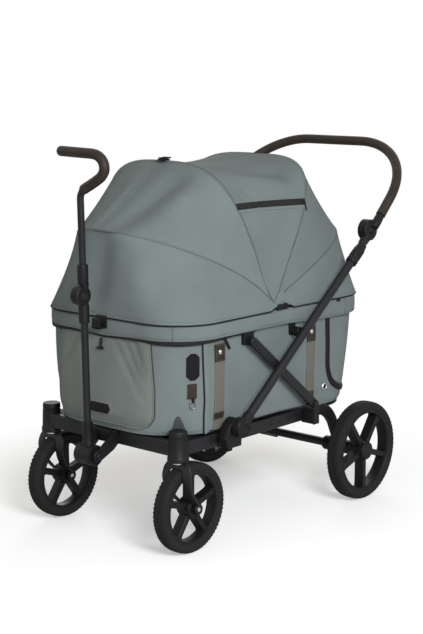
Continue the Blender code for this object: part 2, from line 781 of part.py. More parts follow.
def basket_tub():
    """The basket's lower part: a fabric tray with sloping sides, open on top."""
    low, high = DECK_Z + GAP, DECK_Z + TUB_H
    corner = TUB_CORNER_R
    t = WALL_T
    rings = [rounded_loop(TUB_X - 0.004, TUB_FRONT + 0.004, TUB_REAR - 0.004, corner - 0.004, low),
             rounded_loop(TUB_X, TUB_FRONT, TUB_REAR, corner, low + 0.010),
             rounded_loop(TUB_X + 0.002, TUB_FRONT - 0.001, TUB_REAR + 0.004, corner, high),
             rounded_loop(TUB_X + 0.002 - t, TUB_FRONT + t, TUB_REAR + 0.003 - t, corner - t, high),
             rounded_loop(TUB_X - t, TUB_FRONT + t, TUB_REAR - t, corner - t, low + 0.010),
             rounded_loop(TUB_X - t - 0.004, TUB_FRONT + t + 0.004, TUB_REAR - t - 0.004,
                          corner - t - 0.004, low + t)]
    return loft("basket_tub", rings, shell_fabric())


def floor_pad():
    low = DECK_Z + GAP + WALL_T + GAP
    inset = 0.012
    rings = []
    for z, grow in ((low, -0.004), (low + 0.006, 0.0), (low + PAD_T - 0.008, 0.0),
                    (low + PAD_T, -0.008)):
        rings.append(rounded_loop(TUB_X - inset + grow, TUB_FRONT + inset - grow,
                                  TUB_REAR - inset + grow, TUB_CORNER_R - inset + grow, z))
    return loft("floor_pad", rings, pad_fabric())


def rim_tube_inset():
    return BAND_T + GAP + RIM_TUBE_R


def basket_wall():
    """The basket's folding wall, from just above the tub up to the rim tube."""
    low = DECK_Z + TUB_H + GAP
    high = RIM_TUBE_Z - RIM_TUBE_R - GAP
    shrink = RIM_X - WALL_TOP_X
    foot_x = TUB_X + 0.002
    t = WALL_T
    top = (WALL_TOP_X, BASKET_FRONT + shrink, BASKET_REAR - shrink)
    foot = (foot_x, TUB_FRONT - 0.001, TUB_REAR + 0.004)
    rings = [rounded_loop(foot[0], foot[1], foot[2], TUB_CORNER_R, low),
             rounded_loop(top[0], top[1], top[2], RIM_CORNER_R, high),
             rounded_loop(top[0] - t, top[1] + t, top[2] - t, RIM_CORNER_R - t, high),
             rounded_loop(foot[0] - t, foot[1] + t, foot[2] - t, TUB_CORNER_R - t, low)]
    return loft("basket_wall", rings, shell_fabric(), looped=True)


def rim_band():
    """The fabric band round the rim, with a narrow lip over the tube."""
    top = BAND_Z + BAND_H
    t = BAND_T
    lip = BAND_LIP
    sizes = ((0.0, BAND_Z), (0.0, top), (lip, top), (lip, top - t), (t, top - t), (t, BAND_Z))
    rings = [rounded_loop(RIM_X - i, BASKET_FRONT + i, BASKET_REAR - i, RIM_CORNER_R - i, z)
             for i, z in sizes]
    return loft("rim_band", rings, shell_fabric(), looped=True)


def rim_frame():
    """The rim tube with its leg hinges, hood posts and the clip for the pull handle."""
    inset = rim_tube_inset()
    centre_x = RIM_X - inset
    path = rounded_loop(centre_x, BASKET_FRONT + inset, BASKET_REAR - inset,
                        RIM_CORNER_R - inset, RIM_TUBE_Z)
    rings = []
    for i, spot in enumerate(path):
        along = (path[(i + 1) % len(path)] - path[i - 1]).normalized()
        out = Vector((along.y, -along.x, 0.0))
        ring = []
        for k in range(8):
            a = 2 * math.pi * (k + 0.5) / 8
            ring.append(spot + (out * math.cos(a) + Z_AXIS * math.sin(a)) * RIM_TUBE_R)
        rings.append(ring)
    frame = loft("rim_frame", rings, frame_paint(), looped=True)
    hinge_y = SLIDE_Y + RIM_ALONG * COS
    leg_in = LEG_X - LEG_R
    for sign in (-1.0, 1.0):
        inner = WALL_TOP_X + 0.002
        xs = sorted((sign * inner, sign * (centre_x + RIM_TUBE_R * 0.6)))
        hanger = block(f"hanger{sign:.0f}", (xs[0], hinge_y - 0.014, RIM_PIVOT_Z - 0.010),
                       (xs[1], hinge_y + 0.014, RIM_TUBE_Z - RIM_TUBE_R * 0.5))
        knuckle = rod(f"knuckle{sign:.0f}", (sign * inner, hinge_y, RIM_PIVOT_Z),
                      (sign * (leg_in - GAP), hinge_y, RIM_PIVOT_Z), HANGER_R, None, SLIM)
        pin = rod(f"rim_pin{sign:.0f}", (sign * (inner + 0.004), hinge_y, RIM_PIVOT_Z),
                  (sign * (leg_in + LEG_R), hinge_y, RIM_PIVOT_Z), PIN_R, None, FINE)
        unite(frame, hanger, knuckle, pin)
        outline = [(HOOD_Y - POST_FOOT / 2, RIM_TUBE_Z), (HOOD_Y + POST_FOOT / 2, RIM_TUBE_Z)]
        outline += arc((HOOD_Y, HOOD_Z), POST_TOP_R, 0.0, 180.0, 9)
        xs = sorted((sign * POST_X, sign * (POST_X + POST_T)))
        post = plate(f"hood_post{sign:.0f}", outline, xs[0], xs[1])
        stack = len(BOWS) * BOW_STEP + 0.001
        spindle = rod(f"hood_pin{sign:.0f}", (sign * (POST_X + 0.001), HOOD_Y, HOOD_Z),
                      (sign * (POST_X - stack), HOOD_Y, HOOD_Z), PIN_R, None, FINE)
        unite(frame, post, spindle)
    front = BASKET_FRONT + inset
    clip_front = BASKET_FRONT - CLIP_REACH
    low = BAND_Z - GAP - CLIP_T
    stem = block("clip_stem", (-CLIP_HALF, front - CLIP_T, low), (CLIP_HALF, front, RIM_TUBE_Z))
    foot = block("clip_foot", (-CLIP_HALF, clip_front, low), (CLIP_HALF, front, BAND_Z - GAP))
    hook = block("clip_hook", (-CLIP_HALF, clip_front, low),
                 (CLIP_HALF, clip_front + CLIP_T, BAND_Z + BAND_H * 0.8))
    return unite(frame, stem, foot, hook)


def rim_sliders():
    """Blocks that run along the underside of the rim tube and hold the braces' upper ends."""
    y = BRACKET_Y - RIM_ALONG * COS
    inner = WALL_TOP_X + 0.0025
    outer = RIM_X - rim_tube_inset() + RIM_TUBE_R - 0.0005
    brace_in = BRACE_X - BRACE_T / 2
    shoe = block("rim_slider", (inner, y - SLIDER_L / 2, RIM_PIVOT_Z - 0.008),
                 (outer, y + SLIDER_L / 2, RIM_TUBE_Z - RIM_TUBE_R - GAP), black_plastic(), 0.0015)
    cheek = rod("slider_cheek", (inner + 0.002, y, RIM_PIVOT_Z), (brace_in - GAP, y, RIM_PIVOT_Z),
                HANGER_R - 0.001, None, SLIM)
    pin = rod("slider_pin", (inner + 0.002, y, RIM_PIVOT_Z),
              (BRACE_X + BRACE_T / 2 + 0.0005, y, RIM_PIVOT_Z), PIN_R, None, FINE)
    return both_sides("rim_slider", unite(shoe, cheek, pin))


# Crossed side frame

def braces():
    """Flat oval bars from the rail bracket through the crossing to the rim slider."""
    low, high = BRACE_X - BRACE_T / 2, BRACE_X + BRACE_T / 2
    radius = BRACE_W / 2
    turn = math.degrees(math.atan2(BRACE_DIR.z, BRACE_DIR.y))
    top = BRACKET + BRACE_DIR * RIM_ALONG
    outline = arc((BRACKET_Y, PIVOT_Z), radius, turn + 90.0, turn + 270.0, 8)
    outline += arc((top.y, top.z), radius, turn - 90.0, turn + 90.0, 8)
    brace = plate("brace", outline, low, high, frame_paint())
    bevel = brace.modifiers.new("round", "BEVEL")
    bevel.width = 0.002
    bevel.segments = 1
    bevel.limit_method = "ANGLE"
    bevel.angle_limit = math.radians(60.0)
    bake(brace)
    for i, along in enumerate((0.0, CROSS_ALONG, RIM_ALONG)):
        spot = BRACKET + BRACE_DIR * along
        cut(brace, rod(f"brace_hole_{i}", (low - 0.01, spot.y, spot.z),
                       (high + 0.01, spot.y, spot.z), bore_radius(PIN_R), None, FINE))
    return both_sides("brace", brace)


def legs():
    """Straight tubes with a round hub at the slide, bored from the top for the inner tube."""
    leg = rod("leg", leg_point(0.004), leg_point(LEG_LENGTH), LEG_R, frame_paint(), SLIM)
    half = LEG_HUB_W / 2
    hub = turned("leg_hub", [(0.0, half), (LEG_HUB_R - 0.002, half), (LEG_HUB_R, half - 0.002),
                             (LEG_HUB_R, -half), (0.0, -half)],
                 None, ROUND, facing(X_AXIS, leg_point(0.0)))
    cross = leg_point(CROSS_ALONG)
    boss_in = BRACE_X + BRACE_T / 2 + GAP
    bolt_in = BRACE_X - BRACE_T / 2 - 0.0025
    boss = rod("cross_boss", (boss_in, cross.y, cross.z), (LEG_X, cross.y, cross.z), CROSS_BOSS_R, None, SLIM)
    bolt = rod("cross_bolt", (bolt_in, cross.y, cross.z),
               (LEG_X + LEG_R + 0.0018, cross.y, cross.z), PIN_R, None, FINE)
    head = rod("cross_head", (bolt_in, cross.y, cross.z),
               (BRACE_X - BRACE_T / 2 - GAP, cross.y, cross.z), BOLT_HEAD_R, None, FINE)
    unite(leg, hub, boss, bolt, head)
    cut(leg, rod("leg_bore", leg_point(LEG_LENGTH - LEG_BORE_DEPTH), leg_point(LEG_LENGTH + 0.02),
                 LEG_BORE_R, None, SLIM))
    rim = leg_point(RIM_ALONG)
    cut(leg, rod("rim_pin_hole", (LEG_X - LEG_R - 0.01, rim.y, rim.z),
                 (LEG_X + 0.0015, rim.y, rim.z), bore_radius(PIN_R), None, FINE))
    hub_in = LEG_X - half
    cut(leg, rod("slide_pin_hole", (hub_in - 0.01, SLIDE_Y, PIVOT_Z),
                 (LEG_X + 0.002, SLIDE_Y, PIVOT_Z), bore_radius(PIN_R), None, FINE))
    return both_sides("leg", leg)


def leg_sleeves():
    """Clamping sleeves at the legs' upper ends; the inner tubes slide in them."""
    end = SLEEVE_LENGTH
    seat = LEG_LENGTH - SLEEVE_START + GAP
    r = SLEEVE_R
    outer = [(r, 0.0), (r, 0.022), (r - 0.002, 0.025), (r - 0.002, end - 0.008), (r - 0.003, end)]
    inner = [(INNER_R + RUN, end), (INNER_R + RUN, seat), (LEG_R + GAP, seat), (LEG_R + GAP, 0.0)]
    profile = [(radius, height) for radius, height in reversed(outer + inner)]
    place = facing(LEG_DIR, leg_point(SLEEVE_START))
    sleeve = turned("leg_sleeve", profile, black_plastic(), SLIM, place, ring=True)
    return both_sides("leg_sleeve", sleeve)


def knuckle_centre():
    return leg_point(KNUCKLE_ALONG, KNUCKLE_OFF)


def inner_tubes():
    """Telescoping tubes, each ending in the inner half of an angle joint."""
    centre = knuckle_centre()
    stop = KNUCKLE_ALONG - KNUCKLE_R - 0.003
    tube = rod("inner_tube", leg_point(INNER_START), leg_point(stop), INNER_R, frame_paint(), SLIM)
    disc_out = LEG_X - KNUCKLE_SPLIT
    disc_in = disc_out - KNUCKLE_T
    disc = turned("inner_disc", [(0.0, KNUCKLE_T), (KNUCKLE_R, KNUCKLE_T), (KNUCKLE_R, 0.002),
                                 (KNUCKLE_R - 0.002, 0.0), (0.0, 0.0)],
                  None, ROUND, facing(X_AXIS, (disc_in, centre.y, centre.z)))
    neck = []
    for along, low, high in ((stop - 0.018, -0.0105, 0.0105), (stop - 0.001, -0.012, 0.015)):
        row = []
        for x, off in ((disc_in, low), (LEG_X + INNER_R, low), (LEG_X + INNER_R, high),
                       (disc_in, high)):
            row.append(leg_point(along, off, x))
        neck.append(row)
    web = []
    for along, low, high in ((stop - 0.004, -0.011, 0.014), (KNUCKLE_ALONG, -0.012, 0.020)):
        row = []
        for x, off in ((disc_in, low), (disc_out, low), (disc_out, high), (disc_in, high)):
            row.append(leg_point(along, off, x))
        web.append(row)
    unite(tube, loft("neck", neck), loft("web", web), disc)
    return both_sides("inner_tube", tube)


def bar_frame():
    """The handle's own directions: along it, and away from the leg's side of it."""
    along = Vector((0.0, math.cos(BAR_ANGLE), math.sin(BAR_ANGLE)))
    up = Vector((0.0, -math.sin(BAR_ANGLE), math.cos(BAR_ANGLE)))
    return along, up


def bar_path(start, count=BEND_STEPS):
    """The U of the push handle, in its own plane, from the right side round to the left."""
    along, up = bar_frame()
    centre = knuckle_centre()
    foot = Vector((0.0, centre.y, centre.z)) - up * KNUCKLE_OFF
    half = []
    for a in [math.radians(90.0 * i / (count - 1)) for i in range(count)]:
        reach = BAR_REACH - BAR_BEND_R + BAR_BEND_R * math.sin(a)
        x = LEG_X - BAR_BEND_R + BAR_BEND_R * math.cos(a)
        half.append(foot + along * reach + X_AXIS * x)
    right = [foot + along * start + X_AXIS * LEG_X] + half
    return right + [Vector((-p.x, p.y, p.z)) for p in reversed(right)]


def handle_bar():
    """The bent push bar with the outer halves of both angle joints."""
    bar = bent_tube("handle_bar", bar_path(0.020), BAR_R, frame_paint(), 2)
    centre = knuckle_centre()
    inner = LEG_X - KNUCKLE_SPLIT + GAP
    for sign in (-1.0, 1.0):
        place = facing(X_AXIS * sign, (sign * inner, centre.y, centre.z))
        disc = turned(f"outer_disc{sign:.0f}",
                      [(0.0, KNUCKLE_T), (KNUCKLE_R - 0.004, KNUCKLE_T),
                       (KNUCKLE_R, KNUCKLE_T - 0.003), (KNUCKLE_R, 0.0), (0.0, 0.0)],
                      None, ROUND, place)
        unite(bar, disc)
        floor = KNUCKLE_T - BUTTON_TRAVEL - BUTTON_SUNK - GAP
        start = Vector((sign * (inner + floor), centre.y, centre.z))
        end = start + X_AXIS * sign * 0.02
        cut(bar, rod(f"button_well{sign:.0f}", start, end, BUTTON_R + GAP, None, SLIM))
    return bar


def handle_buttons():
    centre = knuckle_centre()
    face = LEG_X - KNUCKLE_SPLIT + GAP + KNUCKLE_T
    back = face - BUTTON_SUNK
    button = turned("handle_button", [(0.0, face + BUTTON_PROUD), (BUTTON_R - 0.002, face + BUTTON_PROUD),
                                      (BUTTON_R, face), (BUTTON_R, back), (0.0, back)],
                    black_plastic(), SLIM, facing(X_AXIS, (0.0, centre.y, centre.z)))
    return both_sides("handle_button", button)


def hollow_sleeve(name, points, outer, inner, finish, sides):
    """A tube with a bore, made as one bent tube cut by another."""
    sleeve = bent_tube(name, points, outer, finish, sides)
    first = points[0] + (points[0] - points[1]).normalized() * 0.01
    last = points[-1] + (points[-1] - points[-2]).normalized() * 0.01
    core = bent_tube(name + "_core", [first] + points + [last], inner, None, sides)
    return cut(sleeve, core)


def handle_grip():
    return hollow_sleeve("handle_grip", bar_path(BAR_GRIP_START), BAR_GRIP_R, BAR_R + GAP,
                         grip_leather(), 2)


def collars():
    """Slides on the side rails that carry the legs' hubs."""
    inner, outer = RAIL_X - RAIL_W / 2 - RUN, RAIL_X + RAIL_W / 2 + RUN
    wall = COLLAR_WALL
    half = COLLAR_L / 2
    hub_in = LEG_X - LEG_HUB_W / 2
    collar = block("collar", (inner - wall, SLIDE_Y - half, RAIL_Z - RUN - wall),
                   (outer + wall, SLIDE_Y + half, RAIL_Z + RAIL_H + RUN + wall),
                   black_plastic(), 0.001)
    cut(collar, block("collar_bore", (inner, SLIDE_Y - half - 0.01, RAIL_Z - RUN),
                      (outer, SLIDE_Y + half + 0.01, RAIL_Z + RAIL_H + RUN)))
    cheek_in = CHEEK_X
    low = RAIL_Z + 0.002
    outline = [(SLIDE_Y + 0.020, low), (SLIDE_Y + COLLAR_CHEEK_R, PIVOT_Z - 0.006)]
    outline += arc((SLIDE_Y, PIVOT_Z), COLLAR_CHEEK_R, 0.0, 120.0, 8)
    outline += [(SLIDE_Y - 0.030, PIVOT_Z + 0.004), (SLIDE_Y - 0.044, RAIL_Z + 0.026),
                (SLIDE_Y - 0.036, low)]
    cheek = plate("collar_cheek", outline, cheek_in, hub_in - GAP)
    bridge = block("collar_bridge", (outer + wall - 0.001, SLIDE_Y - half + 0.002, low),
                   (cheek_in + 0.002, SLIDE_Y + 0.019, RAIL_Z + RAIL_H - 0.002))
    pin = rod("slide_pin", (cheek_in + 0.002, SLIDE_Y, PIVOT_Z), (LEG_X, SLIDE_Y, PIVOT_Z),
              PIN_R, None, FINE)
    unite(collar, bridge, cheek, pin)
    lug_z = RAIL_Z - RUN - wall
    for y in (SLIDE_Y - LEVER_GAP / 2, SLIDE_Y + LEVER_GAP / 2):
        unite(collar, block(f"lever_lug_{y:.3f}", (outer + wall - 0.004, y - 0.002, lug_z - 0.012),
                            (outer + wall, y + 0.002, lug_z + 0.002)))
    return both_sides("collar", collar)


def lever_axis():
    x = RAIL_X + RAIL_W / 2 + RUN + 0.001
    return Vector((x, SLIDE_Y, RAIL_Z - RUN - COLLAR_WALL - 0.0065))


def release_levers():
    """Ribbed squeeze levers under the slides."""
    axis = lever_axis()
    half = LEVER_GAP / 2 - 0.002 - GAP
    lever = block("release_lever", (axis.x - 0.002, SLIDE_Y - half, axis.z - 0.005),
                  (axis.x + LEVER_W - 0.002, SLIDE_Y + half, axis.z - 0.005 + LEVER_T),
                  black_plastic(), 0.001)
    for i in range(4):
        x = axis.x + 0.003 + 0.0035 * i
        unite(lever, block(f"lever_rib_{i}", (x, SLIDE_Y - half + 0.001, axis.z - 0.0065),
                           (x + 0.0015, SLIDE_Y + half - 0.001, axis.z - 0.004)))
    return both_sides("release_lever", lever)


# Pull handle

def pull_point(up, off=0.0, x=0.0):
    """A point given up the pull handle from its hinge, and off its line towards the back."""
    along = Vector((0.0, -math.sin(PULL_LEAN), math.cos(PULL_LEAN)))
    back = Vector((0.0, math.cos(PULL_LEAN), math.sin(PULL_LEAN)))
    return Vector((x, PULL_Y, PULL_Z)) + along * up + back * off


def pull_lower():
    """The hinge hub with a collar, and the lower tube that stands in it."""
    half = PULL_HUB_W / 2
    hub = turned("pull_lower", [(0.0, half), (PULL_HUB_R - 0.0015, half),
                                (PULL_HUB_R, half - 0.0015), (PULL_HUB_R, 0.0015 - half),
                                (PULL_HUB_R - 0.0015, -half), (0.0, -half)],
                 black_plastic(), ROUND, facing(X_AXIS, (0.0, PULL_Y, PULL_Z)))
    collar = rod("pull_collar", pull_point(0.020), pull_point(PULL_COLLAR_TOP), PULL_COLLAR_R,
                 None, SLIM, PULL_COLLAR_R * 0.9)
    tube = rod("pull_tube", pull_point(0.020), pull_point(PULL_SLEEVE_LOW + LOWER_SOCKET), PULL_TUBE_R,
               None, SLIM)
    unite(hub, collar, tube)
    return cut(hub, rod("pull_bore", (-half - 0.01, PULL_Y, PULL_Z), (half + 0.01, PULL_Y, PULL_Z),
                        bore_radius(PIN_R), None, FINE))


def pull_disc(name, x_from, x_to, finish=None):
    centre = pull_point(PULL_JOINT_UP, -PULL_JOINT_OFF)
    return rod(name, (x_from, centre.y, centre.z), (x_to, centre.y, centre.z), PULL_JOINT_R,
               finish, ROUND)


def pull_joint_lower():
    """The lower sleeve with the left half of the folding joint and its spindle."""
    half = PULL_JOINT_T / 2
    sleeve_end = PULL_JOINT_UP - PULL_JOINT_R - 0.003
    sleeve = rod("pull_joint_lower", pull_point(PULL_SLEEVE_LOW), pull_point(sleeve_end),
                 PULL_SLEEVE_R, black_plastic(), SLIM)
    cut(sleeve, rod("lower_socket", pull_point(PULL_SLEEVE_LOW - 0.01),
                    pull_point(PULL_SLEEVE_LOW + LOWER_SOCKET + GAP),
                    bore_radius(PULL_TUBE_R, SLIM, GAP), None, SLIM))
    neck = block("lower_neck", (-half, pull_point(PULL_JOINT_UP).y - 0.013,
                                pull_point(sleeve_end - 0.008).z),
                 (-GAP, pull_point(PULL_JOINT_UP).y + 0.009, pull_point(PULL_JOINT_UP).z))
    disc = pull_disc("lower_disc", -half, -GAP)
    unite(sleeve, neck, disc)
    centre = pull_point(PULL_JOINT_UP, -PULL_JOINT_OFF)
    spindle = rod("pull_spindle", (-0.004, centre.y, centre.z), (PULL_SPINDLE, centre.y, centre.z),
                  PIN_R, None, FINE)
    return unite(sleeve, spindle)


def pull_joint_upper():
    """The right half of the folding joint with the upper sleeve and the button's well."""
    half = PULL_JOINT_T / 2
    start = PULL_JOINT_UP + PULL_JOINT_R + 0.003
    sleeve = turned("pull_joint_upper",
                    [(0.0, PULL_SLEEVE_HIGH), (PULL_SLEEVE_R - 0.002, PULL_SLEEVE_HIGH),
                     (PULL_SLEEVE_R, PULL_SLEEVE_HIGH - 0.002), (PULL_SLEEVE_R, start),
                     (0.0, start)],
                    black_plastic(), SLIM, facing(pull_point(1.0) - pull_point(0.0), pull_point(0.0)))
    cut(sleeve, rod("upper_socket", pull_point(PULL_SLEEVE_HIGH - PULL_SOCKET),
                    pull_point(PULL_SLEEVE_HIGH + 0.01), bore_radius(PULL_UPPER_R, SLIM, GAP), None, SLIM))
    neck = block("upper_neck", (GAP, pull_point(PULL_JOINT_UP).y - 0.013,
                                pull_point(PULL_JOINT_UP).z),
                 (half, pull_point(PULL_JOINT_UP).y + 0.009, pull_point(start + 0.008).z))
    unite(sleeve, neck, pull_disc("upper_disc", GAP, half))
    centre = pull_point(PULL_JOINT_UP, -PULL_JOINT_OFF)
    cut(sleeve, rod("spindle_hole", (-0.01, centre.y, centre.z), (PULL_SPINDLE + RUN, centre.y, centre.z),
                    bore_radius(PIN_R), None, FINE))
    well = half - BUTTON_TRAVEL - PULL_BUTTON_SUNK - GAP
    return cut(sleeve, rod("pull_button_well", (well, centre.y, centre.z),
                           (half + 0.01, centre.y, centre.z), BUTTON_R + GAP, None, SLIM))


def pull_button():
    half = PULL_JOINT_T / 2
    centre = pull_point(PULL_JOINT_UP, -PULL_JOINT_OFF)
    back = half - PULL_BUTTON_SUNK
    return turned("pull_button", [(0.0, half + BUTTON_PROUD), (BUTTON_R - 0.002, half + BUTTON_PROUD),
                                  (BUTTON_R, half), (BUTTON_R, back), (0.0, back)],
                  black_plastic(), SLIM, facing(X_AXIS, (0.0, centre.y, centre.z)))


def hook_path():
    """The top of the pull handle: a goose neck to the right and a bar back to the left."""
    neck = ((PULL_TOP, 0.000), (0.688, 0.004), (0.6985, 0.014), (0.724, 0.062), (0.7345, 0.078),
            (0.749, 0.0885), (0.765, 0.0885), (0.778, 0.080), (0.7865, 0.066), (0.790, 0.048),
            (0.7925, -0.060), (0.7925, -0.071))
    return [pull_point(up, 0.0, x) for up, x in neck]


def upper_tube_path():
    foot = pull_point(PULL_SLEEVE_HIGH - PULL_SOCKET + GAP)
    return [foot] + hook_path()[:-1]


def pull_upper_tube():
    return bent_tube("pull_upper_tube", upper_tube_path(), PULL_UPPER_R, frame_paint())


def pull_grip():
    """The leather cover of the goose neck, closed at its free end."""
    points = hook_path()
    first = points[0].lerp(points[1], 0.5)
    grip = bent_tube("pull_grip", [first] + points[1:], PULL_GRIP_R, grip_leather())
    core_path = upper_tube_path()
    core_path.append(core_path[-1] + (points[-1] - points[-2]).normalized() * GAP)
    return cut(grip, bent_tube("grip_core", core_path, PULL_UPPER_R + GAP))


# Hood

def bow_point(angle, reach, squareness, share, sink=0.0):
    """A point of a bow; share runs from -1 at the left pivot over the top to 1 at the right."""
    turn = share * math.pi / 2
    power = 2.0 / squareness
    side = math.copysign(abs(math.sin(turn)) ** power, turn)
    rise = max(math.cos(turn), 0.0) ** power
    x = (HOOD_X - sink) * side
    r = (reach - sink) * rise
    return x, r


def hood_place(angle, x, r):
    return Vector((x, HOOD_Y + r * math.cos(angle), HOOD_Z + r * math.sin(angle)))


def bow(index):
    """A flat strip arched over the hood, stepped sideways at its eyes so that the bows nest."""
    name, angle, reach, squareness = BOWS[index]
    eye_x = POST_X - GAP - BOW_T / 2 - (len(BOWS) - 1 - index) * BOW_STEP
    sink = BOW_SINK + BOW_T / 2
    normal = Vector((0.0, -math.sin(angle), math.cos(angle)))
    count = BOW_STEPS
    flat = []
    for i in range(count + 1):
        share = -0.985 + 1.97 * i / count
        x, r = bow_point(angle, reach, squareness, share, sink)
        outward = smoothstep(r, FLARE_LOW, FLARE_HIGH)
        limit = eye_x + (HOOD_X - sink - eye_x) * outward
        flat.append((math.copysign(min(abs(x), limit), x), r))
    arch = [p for p in flat if p[1] > FLARE_LOW]
    flat = [(-eye_x, 0.0), (-eye_x, SHANK), *arch, (eye_x, SHANK), (eye_x, 0.0)]
    rings = []
    for i, (x, r) in enumerate(flat):
        before, after = flat[max(i - 1, 0)], flat[min(i + 1, len(flat) - 1)]
        along = Vector((after[0] - before[0], after[1] - before[1])).normalized()
        across = Vector((-along.y, along.x))
        rise = Vector((0.0, math.cos(angle), math.sin(angle)))
        out = (X_AXIS * across.x + rise * across.y) * BOW_T / 2
        wide = normal * BOW_W / 2
        spot = hood_place(angle, x, r)
        rings.append([spot + out + wide, spot + out - wide, spot - out - wide, spot - out + wide])
    strip = loft(name, rings, black_plastic())
    for sign in (-1.0, 1.0):
        half = BOW_T / 2 + 0.0001
        start = Vector((sign * (eye_x - half), HOOD_Y, HOOD_Z))
        end = Vector((sign * (eye_x + half), HOOD_Y, HOOD_Z))
        unite(strip, rod(f"{name}_eye{sign:.0f}", start, end, BOW_EYE_R, None, SLIM))
        reach_x = X_AXIS * sign * 0.01
        cut(strip, rod(f"{name}_hole{sign:.0f}", start - reach_x, end + reach_x, bore_radius(PIN_R),
                       None, FINE))
    if name == TAB_BOW:
        unite(strip, tab_block("bow_tab"))
    return strip


def tab_block(name, grow=0.0):
    """The fixing tab that stands out of the hood at the top of its main bow."""
    _, angle, reach, _ = next(row for row in BOWS if row[0] == TAB_BOW)
    half_w, half_t = TAB_W / 2 + grow, TAB_T / 2 + grow
    tab = block(name, (-half_w, -half_t, reach - BOW_SINK - 0.003), (half_w, half_t, reach + TAB_PROUD))
    tab.data.transform(Matrix.Translation((0.0, HOOD_Y, HOOD_Z))
                       @ Matrix.Rotation(angle - math.pi / 2, 4, "X"))
    return tab


def edge_line(path, normal):
    """A line of points, each with the direction inwards, square to the line and to a normal."""
    centre = Vector((0.0, HOOD_Y, HOOD_Z))

    def edge(share):
        spot = path(share)
        inward = normal.cross(path(share + EDGE_STEP) - path(share - EDGE_STEP)).normalized()
        return spot, inward if inward.dot(centre - spot) > 0 else -inward
    return edge


def bow_line(index):
    name, angle, reach, squareness = BOWS[index]

    def path(share):
        x, r = bow_point(angle, reach, squareness, share)
        return hood_place(angle, x, r)
    return edge_line(path, Vector((0.0, -math.sin(angle), math.cos(angle))))


def hem_line(end_y, corner, z):
    """The half of the rim from one hood pivot round an end of the basket to the other."""
    toward = 1.0 if end_y > HOOD_Y else -1.0
    across = HOOD_X - corner
    bend = corner * math.pi / 2
    total = abs(end_y - HOOD_Y) - corner + bend + across

    def path(share):
        sign = math.copysign(1.0, share)
        done = total * abs(share)
        if done <= across:
            return Vector((sign * done, end_y, z))
        if done <= across + bend:
            a = (done - across) / corner
            return Vector((sign * (across + corner * math.sin(a)),
                           end_y - toward * corner * (1.0 - math.cos(a)), z))
        return Vector((sign * HOOD_X, end_y - toward * (corner + done - across - bend), z))
    return edge_line(path, Z_AXIS)


def cloth_panel(name, first, second):
    """A taut sheet between two edge lines, mitred against the next panels."""
    count = CLOTH_STEPS
    rows = []
    for i in range(count + 1):
        share = PANEL_END * (2.0 * i / count - 1.0)
        (a, a_in), (b, b_in) = first(share), second(share)
        shift = (b - a).normalized() * GAP
        a, b = a + shift, b - shift
        deep = CLOTH_T * MITRE
        rows.append(([a, a.lerp(b, 0.5), b], [a + a_in * deep, None, b + b_in * deep]))
    for i, (outer, inner) in enumerate(rows):
        along = rows[min(i + 1, count)][0][1] - rows[max(i - 1, 0)][0][1]
        normal = along.cross(outer[2] - outer[0]).normalized()
        if normal.dot(Vector((0.0, HOOD_Y, HOOD_Z)) - outer[1]) < 0:
            normal = -normal
        inner[1] = outer[1] + normal * CLOTH_T
    return skin(name, rows)


def skin(name, rows):
    """A closed sheet from (outer, inner) rows; both faces are split along the same diagonals."""
    shape = bmesh.new()
    rings = [[shape.verts.new(point) for point in outer + inner[::-1]] for outer, inner in rows]
    centre = Vector((0.0, HOOD_Y, HOOD_Z))
    count = len(rings[0])
    across = count // 2 - 1
    for (outer, _), (next_outer, _), here, there in zip(rows, rows[1:], rings, rings[1:]):
        rising = [((outer[j] + next_outer[j + 1]) / 2 - centre).length
                  > ((outer[j + 1] + next_outer[j]) / 2 - centre).length for j in range(across)]
        for j in range(count):
            k = (j + 1) % count
            if j < across:
                forward = rising[j]
            elif across < j < count - 1:
                forward = not rising[count - 2 - j]
            else:
                forward = True
            ends = (here[j], there[k]) if forward else (here[k], there[j])
            for corner in (here[k], there[j]) if forward else (here[j], there[k]):
                shape.faces.new((*ends, corner))
    shape.faces.new(rings[0])
    shape.faces.new(rings[-1])
    return from_bmesh(name, shape, shell_fabric(), True)


def hood_panels():
    hem_z = BAND_Z + BAND_H
    inset = RIM_X - HOOD_X
    corner = RIM_CORNER_R - inset
    front_hem = hem_line(BASKET_FRONT + inset, corner, hem_z)
    rear_hem = hem_line(BASKET_REAR - inset, corner, hem_z)
    window = cloth_panel("window_panel", bow_line(1), bow_line(2))
    front = cloth_panel("front_panel", bow_line(2), bow_line(3))
    for panel in (window, front):
        cut(panel, tab_block("tab_notch", GAP))
    return (cloth_panel("rear_skirt", rear_hem, bow_line(0)),
            cloth_panel("rear_panel", bow_line(0), bow_line(1)),
            window, front,
            cloth_panel("front_skirt", bow_line(3), front_hem))


# Brake

def brake_pedal():
    """A foot pedal clipped round the axle tube, left of the middle."""
    height = axle_height(REAR_WHEEL_R)
    left, right = PEDAL_X - PEDAL_W / 2, PEDAL_X + PEDAL_W / 2
    clip = rod("brake_pedal", (left + 0.012, REAR_AXLE_Y, height),
               (right - 0.012, REAR_AXLE_Y, height), PEDAL_CLIP_R, black_plastic(), SLIM)
    outline = [(REAR_AXLE_Y + 0.010, height - 0.004), (REAR_AXLE_Y + 0.055, height - 0.026),
               (REAR_AXLE_Y + 0.060, height - 0.031), (REAR_AXLE_Y + 0.052, height - 0.036),
               (REAR_AXLE_Y + 0.006, height - 0.015)]
    tread = plate("pedal_tread", outline, left, right)
    unite(clip, tread)
    return cut(clip, rod("pedal_bore", (left - 0.01, REAR_AXLE_Y, height),
                         (right + 0.01, REAR_AXLE_Y, height), bore_radius(AXLE_TUBE_R, SLIM), None, SLIM))


# Assembly

